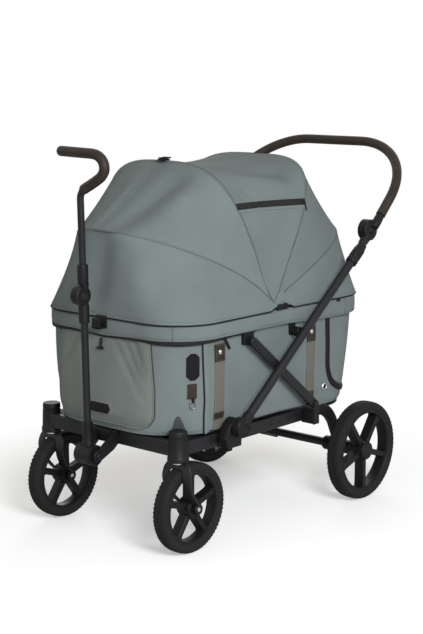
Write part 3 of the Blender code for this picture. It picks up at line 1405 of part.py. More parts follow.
def centre_on_base(root):
    """Slide the whole wagon along Y so that its box is centred on the origin."""
    bpy.context.view_layer.update()
    ends = [(made.matrix_world @ Vector(corner)).y for made in collection("pram").objects
            if made.type == "MESH" for corner in made.bound_box]
    root.location.y = -(min(ends) + max(ends)) / 2
    bpy.context.view_layer.update()


def build():
    clear_scene()
    root = pivot("pram_root", (0.0, 0.0, 0.0), None)
    hang(root, *caster_housings(), *side_rails(), front_rail(), *rear_arms(), rear_axle(),
         rear_bar(), *brace_brackets(), basket_tub(), floor_pad())
    rear_wheels(root)
    front_casters(root)
    axle = (0.0, REAR_AXLE_Y, axle_height(REAR_WHEEL_R))
    hang(pivot("brake_axis", axle, root), brake_pedal())

    fold = pivot("fold_axis", BRACKET, root)
    hang(fold, *braces())
    cross = pivot("cross_axis", BRACKET + BRACE_DIR * CROSS_ALONG, fold)
    hang(cross, *legs(), *leg_sleeves())
    hang(pivot("slider_axis", BRACKET + BRACE_DIR * RIM_ALONG, fold), *rim_sliders())
    slide = pivot("slide_axis", SLIDE, cross)
    hang(slide, *collars())
    right_lever, left_lever = release_levers()
    axis = lever_axis()
    hang(pivot("lever_axis_right", axis, slide), right_lever)
    hang(pivot("lever_axis_left", (-axis.x, axis.y, axis.z), slide), left_lever)

    tubes = pivot("telescope", leg_point(LEG_LENGTH, 0.0, 0.0), cross)
    hang(tubes, *inner_tubes())
    centre = knuckle_centre()
    handle = pivot("handle_axis", (0.0, centre.y, centre.z), tubes)
    hang(handle, handle_bar(), handle_grip(), *handle_buttons())

    rim = pivot("rim_axis", SLIDE + LEG_DIR * RIM_ALONG, cross)
    hang(rim, rim_frame(), rim_band(), basket_wall())
    carrier = rim
    panels = hood_panels()
    hang(rim, panels[0])
    for index in range(len(BOWS)):
        carrier = pivot(BOWS[index][0] + "_axis", (0.0, HOOD_Y, HOOD_Z), carrier)
        hang(carrier, bow(index), panels[index + 1])

    pull = pivot("pull_axis", (0.0, PULL_Y, PULL_Z), root)
    hang(pull, pull_lower(), pull_joint_lower())
    joint = pivot("pull_joint_axis", pull_point(PULL_JOINT_UP, -PULL_JOINT_OFF), pull)
    hang(joint, pull_joint_upper(), pull_upper_tube(), pull_grip(), pull_button())
    centre_on_base(root)


build()
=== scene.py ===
"""The visual model of a folding pram wagon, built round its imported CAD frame.

Shapes are given with Y = 0 at the caster stems, as in the part's source, and moved to the frame's
own Y when a piece is made. Lengths are metres; mm() takes pairs in millimetres.
"""
import json
import math

import bmesh
import bpy
import numpy as np
from mathutils import Matrix, Vector
from mathutils.kdtree import KDTree


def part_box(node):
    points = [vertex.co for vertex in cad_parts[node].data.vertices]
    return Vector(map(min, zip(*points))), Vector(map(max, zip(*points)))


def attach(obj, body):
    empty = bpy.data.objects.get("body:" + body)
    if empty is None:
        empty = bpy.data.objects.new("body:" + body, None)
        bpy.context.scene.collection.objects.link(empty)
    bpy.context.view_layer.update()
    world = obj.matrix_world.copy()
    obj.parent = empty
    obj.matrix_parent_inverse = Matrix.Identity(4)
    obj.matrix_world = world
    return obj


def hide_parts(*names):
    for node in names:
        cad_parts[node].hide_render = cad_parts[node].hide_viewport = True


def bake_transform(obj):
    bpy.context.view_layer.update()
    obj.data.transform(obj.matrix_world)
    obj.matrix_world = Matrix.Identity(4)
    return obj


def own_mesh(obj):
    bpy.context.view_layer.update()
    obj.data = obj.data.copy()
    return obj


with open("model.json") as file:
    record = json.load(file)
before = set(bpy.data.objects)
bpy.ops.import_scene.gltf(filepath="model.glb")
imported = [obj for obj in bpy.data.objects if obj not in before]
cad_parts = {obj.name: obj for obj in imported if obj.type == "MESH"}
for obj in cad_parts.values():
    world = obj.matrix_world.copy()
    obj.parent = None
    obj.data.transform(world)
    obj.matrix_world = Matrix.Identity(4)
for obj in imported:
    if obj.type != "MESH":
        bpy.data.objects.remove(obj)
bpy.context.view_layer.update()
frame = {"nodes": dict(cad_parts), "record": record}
STEM_Y = sum(corner.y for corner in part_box("caster_housing_right")) / 2
SIDES = ((1.0, "right"), (-1.0, "left"))

# Wheels
REAR_AXLE = Vector((0.295, 0.731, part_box("rear_axle")[0].z + 0.0125))
FRONT_AXLE = Vector((0.238, 0.041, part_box("front_tyre_right")[1].z / 2))
REAR_W, REAR_HUB = 0.045, 0.0245
FRONT_W, FRONT_HUB = 0.042, 0.0225
TYRE_DEPTH, RIM_WALL, HUB_R = 0.027, 0.006, 0.027
SPOKES, TREAD_BLOCKS, TREAD_CUT = 5, 64, 0.0022

# Basket and rim
BASKET_FRONT, BASKET_REAR = -0.028, 0.798
RIM_X, RIM_CORNER = 0.277, 0.132
BAND_HIGH = 0.606
BAND_LOOP = (RIM_X, BASKET_FRONT, BASKET_REAR, RIM_CORNER)
PIVOT_Z, FOLD_DROP = 0.3235, 0.168

# Hood
HOOD = Vector((0.0, 0.382, 0.618))
HOOD_X = 0.272
HOOD_FRONT_Y, HOOD_REAR_Y = BASKET_FRONT + (RIM_X - HOOD_X), BASKET_REAR - (RIM_X - HOOD_X)
# body: angle, reach, squareness, and how far the seam lies behind the bow's plane low down and halfway
BOWS = {"hood_rear": (math.radians(26), 0.4245, 3.9, -0.067, -0.006),
        "hood_rear_top": (math.radians(62), 0.4386, 3.67, -0.040, -0.007),
        "hood_main": (math.radians(115), 0.426, 3.08, -0.046, -0.0127),
        "hood_front": (math.radians(153), 0.4829, 2.24, -0.034, 0.0526)}
# body: where the seam's low end lies behind and above the pivot
SEAM_END = {"hood_rear": (-0.003, 0.014), "hood_rear_top": (-0.008, 0.0), "hood_main": (-0.026, 0.0),
            "hood_front": (-0.030, 0.010)}
# edge: the basket's end that a skirt's hem goes round, and the Y where it stops on the sides
HEMS = {"rear_hem": (HOOD_REAR_Y, 0.398), "front_hem": (HOOD_FRONT_Y, 0.352)}
HEM_Z, HEM_OUT = BAND_HIGH + 0.0004, 0.0095
HEM_CORNER_RISE, HEM_CORNER_RUN = 0.012, 0.030
CLOTH_T = 0.0016


# Materials

class Nodes:
    """The nodes of a new material or world."""

    def __init__(self, owner):
        owner.use_nodes = True
        self.owner, self.tree = owner, owner.node_tree

    def fill(self, node, values):
        for key, value in values.items():
            if isinstance(value, bpy.types.NodeSocket):
                self.tree.links.new(value, node.inputs[key])
            else:
                node.inputs[key].default_value = value

    def add(self, kind, values=None, **settings):
        node = self.tree.nodes.new("ShaderNode" + kind)
        for key, value in settings.items():
            setattr(node, key, value)
        self.fill(node, values or {})
        return node.outputs

    def calc(self, operation, *values):
        return self.add("Math", dict(enumerate(values)), operation=operation)[0]

    def noise(self, vector, scale, detail=2.0, roughness=0.5):
        return self.add("TexNoise", {"Vector": vector, "Scale": scale, "Detail": detail,
                                     "Roughness": roughness})[0]

    def wave(self, value, length):
        return self.calc("SINE", self.calc("MULTIPLY", value, 2 * math.pi / length))

    def mixed(self, first, first_share, second, second_share):
        return self.calc("ADD", self.calc("MULTIPLY", first, first_share),
                         self.calc("MULTIPLY", second, second_share))

    def cloth_metres(self):
        """Cloth coordinates, whole and as their two parts."""
        flat = self.add("UVMap")[0]
        parts = self.add("SeparateXYZ", {0: flat})
        return flat, parts[0], parts[1]

    def finish(self, share, light, dark, height, depth, strength, **inputs):
        """Two tones by a share, a bump, and the shader's other inputs; gives the material."""
        ramp = self.tree.nodes.new("ShaderNodeValToRGB")
        for stop, place, colour in zip(ramp.color_ramp.elements, (0.25, 0.75), (dark, light)):
            stop.color = (*colour, 1.0)
            stop.position = place
        self.tree.links.new(share, ramp.inputs[0])
        bump = self.add("Bump", {"Height": height, "Distance": depth, "Strength": strength})[0]
        values = {key.replace("_", " "): value for key, value in inputs.items()}
        self.fill(self.tree.nodes["Principled BSDF"], {"Base Color": ramp.outputs[0], "Normal": bump, **values})
        return self.owner


def new_material(name):
    return Nodes(bpy.data.materials.new(name))


def woven(name, light, dark, thread, sheen, roughness=0.86):
    """Woven cloth from two tones of yarn."""
    new = new_material(name)
    flat, across, along = new.cloth_metres()
    weave = new.calc("MULTIPLY", new.wave(across, thread), new.wave(along, thread))
    slubs = [new.noise(new.add("Mapping", {"Vector": flat, "Scale": scale})[0], 1.0)
             for scale in ((260.0, 1500.0, 1.0), (1500.0, 260.0, 1.0))]
    blotch = new.calc("SUBTRACT", new.noise(flat, 7.0, 3.0), 0.5)
    share = new.calc("ADD", new.mixed(slubs[0], 0.5, slubs[1], 0.5), new.mixed(weave, 0.07, blotch, 0.35))
    return new.finish(share, light, dark, new.calc("MULTIPLY_ADD", weave, 0.5, slubs[0]), thread * 0.28, 0.55,
                      Roughness=roughness, Sheen_Weight=sheen, Sheen_Roughness=0.6, Specular_IOR_Level=0.10)


def webbing_material(name, light, dark):
    """Ribbed strap webbing with its ribs across the strap."""
    new = new_material(name)
    flat, across, along = new.cloth_metres()
    twill = new.wave(new.calc("MULTIPLY_ADD", along, 0.5, across), 0.0022)
    share = new.calc("MULTIPLY_ADD", twill, 0.10, new.noise(flat, 420.0))
    height = new.calc("MULTIPLY_ADD", new.wave(along, 0.0016), 0.5, twill)
    return new.finish(share, light, dark, height, 0.00035, 0.6, Roughness=0.8)


def zip_material(name, light, dark):
    """Zip tape with a coil of teeth along its middle."""
    new = new_material(name)
    flat, along, across = new.cloth_metres()
    teeth = new.wave(along, 0.0026)
    share = new.calc("MULTIPLY_ADD", teeth, 0.22, new.calc("MULTIPLY_ADD", new.noise(flat, 900.0), 0.5, 0.5))
    return new.finish(share, light, dark, teeth, 0.0005, 0.5, Roughness=0.62, Specular_IOR_Level=0.15)


def leather_material(name, light, dark):
    """Grained leather with worn, slightly lighter patches."""
    new = new_material(name)
    place = new.add("TexCoord")["Object"]
    cells = new.add("TexVoronoi", {"Vector": place, "Scale": 520.0}, feature="F1")[0]
    wear, fine = new.noise(place, 26.0, 4.0), new.noise(place, 900.0)
    height = new.calc("MULTIPLY_ADD", fine, 0.4, cells)
    gloss = new.calc("MULTIPLY_ADD", wear, 0.25, 0.36)
    return new.finish(new.mixed(wear, 0.8, fine, 0.2), light, dark, height, 0.0004, 0.5, Roughness=gloss,
                      Specular_IOR_Level=0.20)


def coated(name, light, dark, roughness, grain, depth, spread, specular):
    """Moulded plastic, powder paint or rubber: a fine grain and slow changes of tone and gloss."""
    new = new_material(name)
    place = new.add("TexCoord")["Object"]
    slow, fine = new.noise(place, 9.0, 4.0), new.noise(place, grain, 3.0, 0.6)
    return new.finish(new.mixed(slow, 0.6, fine, 0.4), light, dark, fine, depth, 0.5,
                      Roughness=new.calc("MULTIPLY_ADD", slow, spread, roughness - spread / 2),
                      Specular_IOR_Level=specular)


def brushed_metal(name, light, dark):
    new = new_material(name)
    fine = new.noise(new.add("TexCoord")["Object"], 700.0, 3.0)
    return new.finish(fine, light, dark, fine, 0.0001, 0.4, Roughness=0.3, Metallic=1.0)


CLOTH = woven("cloth", (0.196, 0.231, 0.226), (0.104, 0.127, 0.125), 0.0013, 0.03)
# The front pocket's cloth is a warmer copy of the same cloth: painted warm light on the front faces.
CLOTH_FRONT_PAINTED_LIGHT = woven("cloth_front_painted_warm_light", (0.205, 0.232, 0.215), (0.110, 0.128, 0.118), 0.0013, 0.03)
SEAM = woven("seam_cloth", (0.110, 0.128, 0.122), (0.062, 0.074, 0.070), 0.0013, 0.05)
# Dark lining cloth, also used for the pocket's painted shadow line.
LINING_AND_SHADE = woven("lining_and_painted_shade", (0.070, 0.074, 0.074), (0.038, 0.040, 0.041), 0.0012, 0.10)
PAD = woven("pad_cloth", (0.090, 0.094, 0.094), (0.050, 0.053, 0.054), 0.0022, 0.20)
# Black tape and thread, also used as painted shade inside holes and in the gap under the hood's hems.
BLACK_TAPE_AND_SHADE = woven("black_tape_and_painted_shade", (0.011, 0.011, 0.012), (0.005, 0.005, 0.006), 0.0012, 0.02, 0.75)
EDGING = woven("label_edging", (0.28, 0.23, 0.21), (0.17, 0.14, 0.13), 0.0010, 0.05)
WEBBING = webbing_material("webbing", (0.158, 0.155, 0.127), (0.085, 0.083, 0.066))
ZIP = zip_material("zip_tape", (0.013, 0.013, 0.013), (0.004, 0.004, 0.004))
LEATHER = leather_material("leather", (0.036, 0.026, 0.019), (0.0158, 0.0112, 0.0082))
PAINT = coated("paint", (0.0135, 0.0139, 0.0152), (0.0088, 0.0091, 0.0100), 0.40, 1500.0, 0.00006, 0.12, 0.22)
PLASTIC = coated("plastic", (0.0092, 0.0092, 0.0098), (0.0055, 0.0055, 0.0058), 0.50, 1900.0, 0.0001, 0.12, 0.18)
RUBBER = coated("rubber", (0.0205, 0.0200, 0.0190), (0.0125, 0.0122, 0.0116), 0.72, 800.0, 0.00018, 0.1, 0.12)
METAL = brushed_metal("metal", (0.78, 0.76, 0.72), (0.50, 0.48, 0.45))
DARK_METAL = brushed_metal("dark_metal", (0.36, 0.33, 0.29), (0.20, 0.18, 0.16))


# Making pieces

def mm(*pairs):
    return [(a / 1000, b / 1000) for a, b in pairs]


def unit(vectors):
    return vectors / np.maximum(np.linalg.norm(vectors, axis=-1, keepdims=True), 1e-12)


def smoothstep(value, low, high):
    share = np.clip((np.asarray(value, float) - low) / (high - low), 0.0, 1.0)
    return share * share * (3.0 - 2.0 * share)


def link(made):
    bpy.context.scene.collection.objects.link(made)
    return made


def piece_of(name, mesh, material, body, replaced, sharp):
    """A piece from its mesh, with its material, its body and the node that it stands for."""
    mesh.shade_smooth()
    mesh.set_sharp_from_angle(angle=math.radians(sharp))
    mesh.materials.append(material)
    made = link(bpy.data.objects.new(name, mesh))
    if body:
        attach(made, body)
    if replaced:
        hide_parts(replaced)
    return made


def mesh_piece(name, points, faces, material, body=None, replaced=None, uvs=None, sharp=35.0):
    mesh = bpy.data.meshes.new(name)
    moved = np.asarray(points, float) + (0.0, STEM_Y, 0.0)
    mesh.from_pydata(moved.tolist(), [], [list(map(int, face)) for face in faces])
    if uvs is not None:
        mesh.uv_layers.new(name="metres").data.foreach_set("uv", np.asarray(uvs, np.float32).ravel())
    return piece_of(name, mesh, material, body, replaced, sharp)


def bmesh_piece(name, shape, material, body=None, replaced=None, sharp=30.0):
    bmesh.ops.recalc_face_normals(shape, faces=shape.faces)
    bmesh.ops.translate(shape, verts=shape.verts, vec=(0.0, STEM_Y, 0.0))
    mesh = bpy.data.meshes.new(name)
    shape.to_mesh(mesh)
    shape.free()
    return piece_of(name, mesh, material, body, replaced, sharp)


def extruded(outline, vector):
    """A solid from a flat outline, and its moved points."""
    shape = bmesh.new()
    face = shape.faces.new([shape.verts.new(spot) for spot in outline])
    grown = bmesh.ops.extrude_face_region(shape, geom=[face])
    moved = [v for v in grown["geom"] if isinstance(v, bmesh.types.BMVert)]
    bmesh.ops.translate(shape, verts=moved, vec=vector)
    return shape


def bevelled(shape, edges, offset, segments=3):
    bmesh.ops.bevel(shape, geom=edges, offset=offset, segments=segments, profile=0.5, affect="EDGES",
                    clamp_overlap=segments == 3)


def quads(rows, cols, closed):
    """Grid places of each quad's corners; a closed grid's last column meets its first."""
    i, j = np.meshgrid(np.arange(rows - 1), np.arange(cols if closed else cols - 1), indexing="ij")
    i, j = i.ravel(), j.ravel()
    return np.stack([np.stack([i, j], 1), np.stack([i, j + 1], 1),
                     np.stack([i + 1, j + 1], 1), np.stack([i + 1, j], 1)], 1)


def metres(grid, closed):
    """Cloth coordinates: the length along each row, and along each column."""
    wide = np.concatenate([grid, grid[:, :1]], 1) if closed else grid
    table = np.zeros((*wide.shape[:2], 2))
    table[:, 1:, 0] = np.cumsum(np.linalg.norm(np.diff(wide, axis=1), axis=2), axis=1)
    table[1:, :, 1] = np.cumsum(np.linalg.norm(np.diff(wide, axis=0), axis=2), axis=0)
    if not closed:
        table[..., 0] -= table[:, -1:, 0] / 2
    return table


def grid_normals(grid, closed):
    across = np.roll(grid, -1, 1) - np.roll(grid, 1, 1) if closed else np.gradient(grid, axis=1)
    return unit(np.cross(across, np.gradient(grid, axis=0)))


def turned_out(grid, normals, centre):
    """1 where a grid's normals point away from a centre, otherwise -1."""
    return 1.0 if ((grid - np.asarray(centre)) * normals).sum() > 0 else -1.0


def skin(name, grid, material, body=None, replaced=None, looped=False, sharp=40.0, swap=False, planar=False):
    """Rings of a closed section, one after the other; a row of rings gets flat ends."""
    rows, cols = grid.shape[:2]
    corners = quads(rows + 1 if looped else rows, cols, True)
    faces = (corners[..., 0] % rows * cols + corners[..., 1] % cols).tolist()
    table = metres(np.concatenate([grid, grid[:1]]) if looped else grid, True)
    uvs = table[corners[..., 0], corners[..., 1]].reshape(-1, 2)[:, ::-1 if swap else 1]
    flat = grid.reshape(-1, 3)
    plain = flat[:, :2] + flat[:, 2:]
    if planar:
        uvs = plain[np.array(faces).ravel()]
    if not looped:
        ends = [list(range(cols)), list(range((rows - 1) * cols, rows * cols))]
        faces += ends
        uvs = np.concatenate([uvs, plain[ends[0]], plain[ends[1]]])
    made = mesh_piece(name, flat, faces, material, body, replaced, uvs, sharp)
    shape = bmesh.new()
    shape.from_mesh(made.data)
    bmesh.ops.recalc_face_normals(shape, faces=shape.faces)
    shape.to_mesh(made.data)
    shape.free()
    return made


def cloth(name, grid, material, body=None, replaced=None, closed=False, thick=CLOTH_T, centre=HOOD):
    """A sheet whose outer face is the grid, with an inner face and closed edges."""
    rows, cols = grid.shape[:2]
    normals = grid_normals(grid, closed)
    way = turned_out(grid, normals, centre)
    points = np.concatenate([grid.reshape(-1, 3), (grid - way * normals * thick).reshape(-1, 3)])
    corners = quads(rows, cols, closed)
    if way < 0:
        corners = corners[:, ::-1]
    table = metres(grid, closed)
    index = corners[..., 0] * cols + corners[..., 1] % cols
    size = rows * cols
    faces = [index, index[:, ::-1] + size]
    uvs = [table[corners[..., 0], corners[..., 1]]]
    uvs.append(uvs[0][:, ::-1])
    ends = [[(row, k) for k in range(cols + 1 if closed else cols)] for row in (0, rows - 1)]
    if not closed:
        ends += [[(k, column) for k in range(rows)] for column in (0, cols - 1)]
    for k, line in enumerate(np.array(end) for end in ends):
        place = line[:, 0] * cols + line[:, 1] % cols
        uv = table[line[:, 0], line[:, 1]]
        rim = np.stack([place[:-1], place[1:], place[1:] + size, place[:-1] + size], 1)
        rim_uv = np.stack([uv[:-1], uv[1:], uv[1:], uv[:-1]], 1)
        turn = -1 if (k in (0, 3)) != (way < 0) else 1
        faces.append(rim[:, ::turn])
        uvs.append(rim_uv[:, ::turn])
    return mesh_piece(name, points, np.concatenate(faces), material, body, replaced,
                      np.concatenate(uvs).reshape(-1, 2), 60.0)


def path_frames(points, up=(0.0, 0.0, 1.0), looped=False):
    """Directions along, out and up at each point of a path, without twist."""
    points = np.asarray(points, float)
    along = unit(np.roll(points, -1, 0) - np.roll(points, 1, 0) if looped else np.gradient(points, axis=0))
    side = np.cross(along[0], up)
    if np.linalg.norm(side) < 0.1:
        side = np.cross(along[0], (0.0, 1.0, 0.0))
    sides = []
    for direction in along:
        side = unit(side - direction * (side @ direction))
        sides.append(side)
    sides = np.array(sides)
    return along, sides, np.cross(sides, along)


def sweep(name, points, section, material, body=None, replaced=None, looped=False, up=(0.0, 0.0, 1.0),
          scale=1.0):
    """A closed section, in (side, up) pairs, carried along a path."""
    points = np.asarray(points, float)
    _, side, rise = path_frames(points, up, looped)
    section = np.asarray(section, float)[None] * np.broadcast_to(scale, len(points))[:, None, None]
    grid = points[:, None] + side[:, None] * section[..., :1] + rise[:, None] * section[..., 1:]
    return skin(name, grid, material, body, replaced, looped, 35.0)


def round_section(radius, sides=24):
    turn = np.linspace(0.0, 2 * math.pi, sides, endpoint=False)
    return np.stack([np.cos(turn) * radius, np.sin(turn) * radius], 1)


def arc_points(centre, radius, start, end, count):
    turn = np.radians(np.linspace(start, end, count))
    return [(centre[0] + radius * math.cos(a), centre[1] + radius * math.sin(a)) for a in turn]


def round_rect(cx, cz, wide, high, radius, steps=5):
    w, h = wide / 2 - radius, high / 2 - radius
    corners = ((w, h, 0), (-w, h, 90), (-w, -h, 180), (w, -h, 270))
    return [spot for x, z, start in corners
            for spot in arc_points((cx + x, cz + z), radius, start, start + 90, steps)]


def box_section(wide, high, bevel, steps=3):
    return round_rect(0.0, 0.0, wide, high, bevel, steps + 1)


def smooth_path(points, step=0.004):
    """A Catmull-Rom line through the points, at even steps."""
    points = np.asarray([tuple(p) for p in points], float)
    padded = np.concatenate([[2 * points[0] - points[1]], points, [2 * points[-1] - points[-2]]])
    line = [points[0]]
    for a, b, c, d in zip(padded, padded[1:], padded[2:], padded[3:]):
        count = max(int(np.linalg.norm(c - b) / step), 2)
        for t in np.arange(1, count + 1) / count:
            line.append(0.5 * (2 * b + (c - a) * t + (2 * a - 5 * b + 4 * c - d) * t * t
                               + (3 * b - a - 3 * c + d) * t ** 3))
    return np.array(line)


def axis_of(axis):
    """An axis as a vector; a number stands for the X axis or its opposite."""
    return Vector((axis, 0.0, 0.0) if isinstance(axis, float) else axis).normalized()


def lathe(name, profile, axis, centre, material, body=None, sides=64, replaced=None):
    """A closed (radius, height) profile turned about an axis."""
    profile = np.asarray(profile, float)
    place = np.array(Matrix.Translation(Vector(centre))
                     @ axis_of(axis).to_track_quat("Z", "Y").to_matrix().to_4x4())
    turn = np.linspace(0.0, 2 * math.pi, sides, endpoint=False)
    local = np.stack([np.outer(profile[:, 0], np.cos(turn)), np.outer(profile[:, 0], np.sin(turn)),
                      np.repeat(profile[:, 1:], sides, 1)], -1)
    shape = bmesh.new()
    verts = [shape.verts.new(p) for p in local.reshape(-1, 3) @ place[:3, :3].T + place[:3, 3]]
    rows = len(profile)
    corners = quads(rows + 1, sides, True)
    for face in corners[..., 0] % rows * sides + corners[..., 1] % sides:
        shape.faces.new([verts[k] for k in face])
    bmesh.ops.remove_doubles(shape, verts=shape.verts, dist=1e-6)
    loose = [face for face in shape.faces if face.calc_area() < 1e-12]
    bmesh.ops.delete(shape, geom=loose, context="FACES")
    return bmesh_piece(name, shape, material, body, replaced)


def rounded(profile, radius, steps=4, looped=False):
    """Replace each corner of a profile by a small arc."""
    points = [np.array(p, float) for p in profile]
    count = len(points)
    made = []
    for i, spot in enumerate(points):
        if not looped and i in (0, count - 1):
            made.append(spot)
            continue
        before, after = points[i - 1] - spot, points[(i + 1) % count] - spot
        reach = min(radius, np.linalg.norm(before) * 0.45, np.linalg.norm(after) * 0.45)
        start, end = spot + unit(before) * reach, spot + unit(after) * reach
        made += [(1 - t) ** 2 * start + 2 * t * (1 - t) * spot + t * t * end
                 for t in np.linspace(0.0, 1.0, steps + 1)]
    return made


def plate(name, outline, axis, centre, thick, material, body=None, bevel=0.001, replaced=None):
    """An outline in a plane's (across, up) coordinates, given thickness along an axis, edges rounded."""
    axis = axis_of(axis)
    across = Vector((0.0, 0.0, 1.0)).cross(axis).normalized()
    up = axis.cross(across)
    start = Vector(centre) - axis * thick / 2
    shape = extruded([start + across * a + up * b for a, b in outline], axis * thick)
    bevelled(shape, [e for e in shape.edges if e.calc_face_angle(0.0) > 1.0], bevel)
    return bmesh_piece(name, shape, material, body, replaced)


def solid_box(name, low, high, material, body=None, bevel=0.0015, replaced=None):
    """A box with rounded edges between two opposite corners."""
    low, high = np.minimum(low, high), np.maximum(low, high)
    shape = bmesh.new()
    bmesh.ops.create_cube(shape, size=1.0)
    bmesh.ops.transform(shape, matrix=Matrix.Translation((low + high) / 2)
                        @ Matrix.Diagonal((*(high - low), 1.0)), verts=shape.verts)
    bevelled(shape, shape.edges[:], bevel)
    return bmesh_piece(name, shape, material, body, replaced, 35.0)


# Wheels

def mirrored(profile):
    """A (radius, place) profile followed by its mirror image."""
    return profile + [(r, -x) for r, x in reversed(profile)]


def tyre_grid(radius, width):
    """A tyre's section right round, with ribbed tread, blocks on the shoulders and a bead line."""
    seat = radius - TYRE_DEPTH + 0.0006
    half = width / 2
    side = [(seat, 0.60), (seat, 0.78), (seat + 0.004, 0.86), (seat + 0.0048, 0.845), (seat + 0.0056, 0.875),
            (seat + 0.011, 0.975), (radius - 0.011, 1.0), (radius - 0.0085, 0.985), (radius - 0.0062, 0.945),
            (radius - 0.0040, 0.885), (radius - 0.0022, 0.78), (radius - 0.0010, 0.64), (radius - 0.0006, 0.52)]
    middle = [(radius - 0.0022, 0.49), (radius - 0.0022, 0.44), (radius - 0.0002, 0.41), (radius, 0.25),
              (radius - 0.0002, 0.10), (radius - 0.0020, 0.07)]
    profile = np.array(mirrored(side + middle)) * (1.0, half)
    depth = [0] * 8 + [1.0, 1.0, 1.0, 0.9, 0] + [0, 0, 0.45, 0.45, 0.45, 0]
    depth = np.array(depth + depth[::-1])
    block = 2 * math.pi / TREAD_BLOCKS
    angles = np.add.outer(np.arange(TREAD_BLOCKS), (0.0, 0.55, 0.60, 0.95)).ravel() * block
    cuts = np.tile((0, 0, 1, 1), TREAD_BLOCKS)
    phase = np.zeros(len(profile))
    phase[len(profile) // 2:] = block / 2
    phase[np.abs(profile[:, 1]) < half * 0.45] += block / 4
    radii = profile[:, :1] - TREAD_CUT * depth[:, None] * cuts[None]
    turn = angles[None] + phase[:, None]
    return np.stack([np.repeat(profile[:, 1:], len(angles), 1), np.sin(turn) * radii, np.cos(turn) * radii], -1)


def wheel(stem, sign, side, axle, width, hub_half, phase):
    """A treaded tyre, and a rim with a deep barrel, five box spokes and a capped hub."""
    radius = axle.z
    body = f"{stem}_roller_{side}"
    centre = np.array((axle.x * sign, axle.y, axle.z))
    grid = tyre_grid(radius, width) * (sign, 1.0, 1.0) + centre
    rows, cols = grid.shape[:2]
    corners = quads(rows + 1, cols, True)
    faces = (corners[..., 0] % rows * cols + corners[..., 1] % cols)[:, ::-int(sign)]
    mesh_piece(f"{stem}_tyre_tread_{side}", grid.reshape(-1, 3), faces, RUBBER, body, f"{stem}_tyre_{side}",
               sharp=24.0)
    seat = radius - TYRE_DEPTH
    half = width / 2 * 0.86
    inner = seat - RIM_WALL
    edge = [(seat + 0.001, half * 0.93), (seat - 0.0015, half), (seat - 0.0045, half),
            (seat - 0.006, half - 0.002), (inner - 0.001, half - 0.0075)]
    barrel = edge + [(inner - 0.0022, 0.0)] + mirrored(edge)[5:]
    pieces = [lathe(f"{stem}_rim_{side}", barrel, sign, centre, PLASTIC, body, 96, f"{stem}_wheel_{side}")]
    deep = half - 0.0040
    levels = ((HUB_R * 0.55, 0.0225, 0.0165, deep * 0.90), (HUB_R * 1.25, 0.0205, 0.0150, deep * 0.92),
              (inner * 0.62, 0.0190, 0.0138, deep * 0.95), (inner - 0.010, 0.0185, 0.0135, deep * 0.97),
              (inner - 0.0025, 0.0215, 0.0165, deep), (inner + 0.002, 0.0265, 0.0215, deep))
    for i in range(SPOKES):
        turn = Matrix.Rotation(2 * math.pi * i / SPOKES + phase, 4, "X")
        shape = bmesh.new()
        rings = []
        for reach, wide, outer, depth in levels:
            section = [(-depth, -wide / 2), (-depth, wide / 2), (depth - 0.0012, outer / 2 + 0.0006),
                       (depth, outer / 2 - 0.0008), (depth, -outer / 2 + 0.0008),
                       (depth - 0.0012, -outer / 2 - 0.0006)]
            rings.append([shape.verts.new(Vector(centre) + turn @ Vector((x * sign, y, reach)))
                          for x, y in section])
        for here, there in zip(rings, rings[1:]):
            for j in range(6):
                shape.faces.new((here[j], here[(j + 1) % 6], there[(j + 1) % 6], there[j]))
        shape.faces.new(rings[0])
        shape.faces.new(rings[-1])
        pieces.append(bmesh_piece(f"{stem}_spoke_{side}_{i}", shape, PLASTIC, body, None, 35.0))
    cap = hub_half
    hub = rounded([(0.0, cap - 0.0008), (HUB_R * 0.76, cap - 0.0008), (HUB_R * 0.80, cap - 0.0020),
                   (HUB_R * 0.84, cap - 0.0006), (HUB_R * 0.93, cap - 0.0006), (HUB_R, cap - 0.006),
                   (HUB_R * 0.98, 0.0), (HUB_R * 0.90, -cap), (0.0, -cap)], 0.0012)
    pieces.append(lathe(f"{stem}_hub_{side}", hub, sign, centre, PLASTIC, body))
    with bpy.context.temp_override(active_object=pieces[0], object=pieces[0], selected_objects=pieces,
                                   selected_editable_objects=pieces):
        bpy.ops.object.join()
    pieces[0].name = f"{stem}_spoked_rim_{side}"


for sign, label in SIDES:
    wheel("rear", sign, label, REAR_AXLE, REAR_W, REAR_HUB, math.radians(36.0))
    wheel("front", sign, label, FRONT_AXLE, FRONT_W, FRONT_HUB, 0.0)


# Hood

def bow_line(body, shares, proud=0.0):
    """Points of a bow's outer line; shares run from -1 at the left pivot over the top to 1."""
    angle, reach, squareness, low_back, mid_back = BOWS[body]
    end_back, end_rise = SEAM_END[body]
    turn = np.asarray(shares, float) * math.pi / 2
    power = 2.0 / squareness
    q = np.maximum(np.cos(turn), 0.0) ** power
    hooked = np.exp(-q / 0.07)
    back = (end_back * hooked + low_back * (1.0 - hooked)) * (1.0 - q) + mid_back * 4 * q * (1.0 - q)
    r = q * (reach + proud)
    return np.stack([np.sign(turn) * np.abs(np.sin(turn)) ** power * (HOOD_X + proud),
                     HOOD.y + r * math.cos(angle) + back,
                     HOOD.z + r * math.sin(angle) + end_rise * hooked * (1.0 - q)], -1)


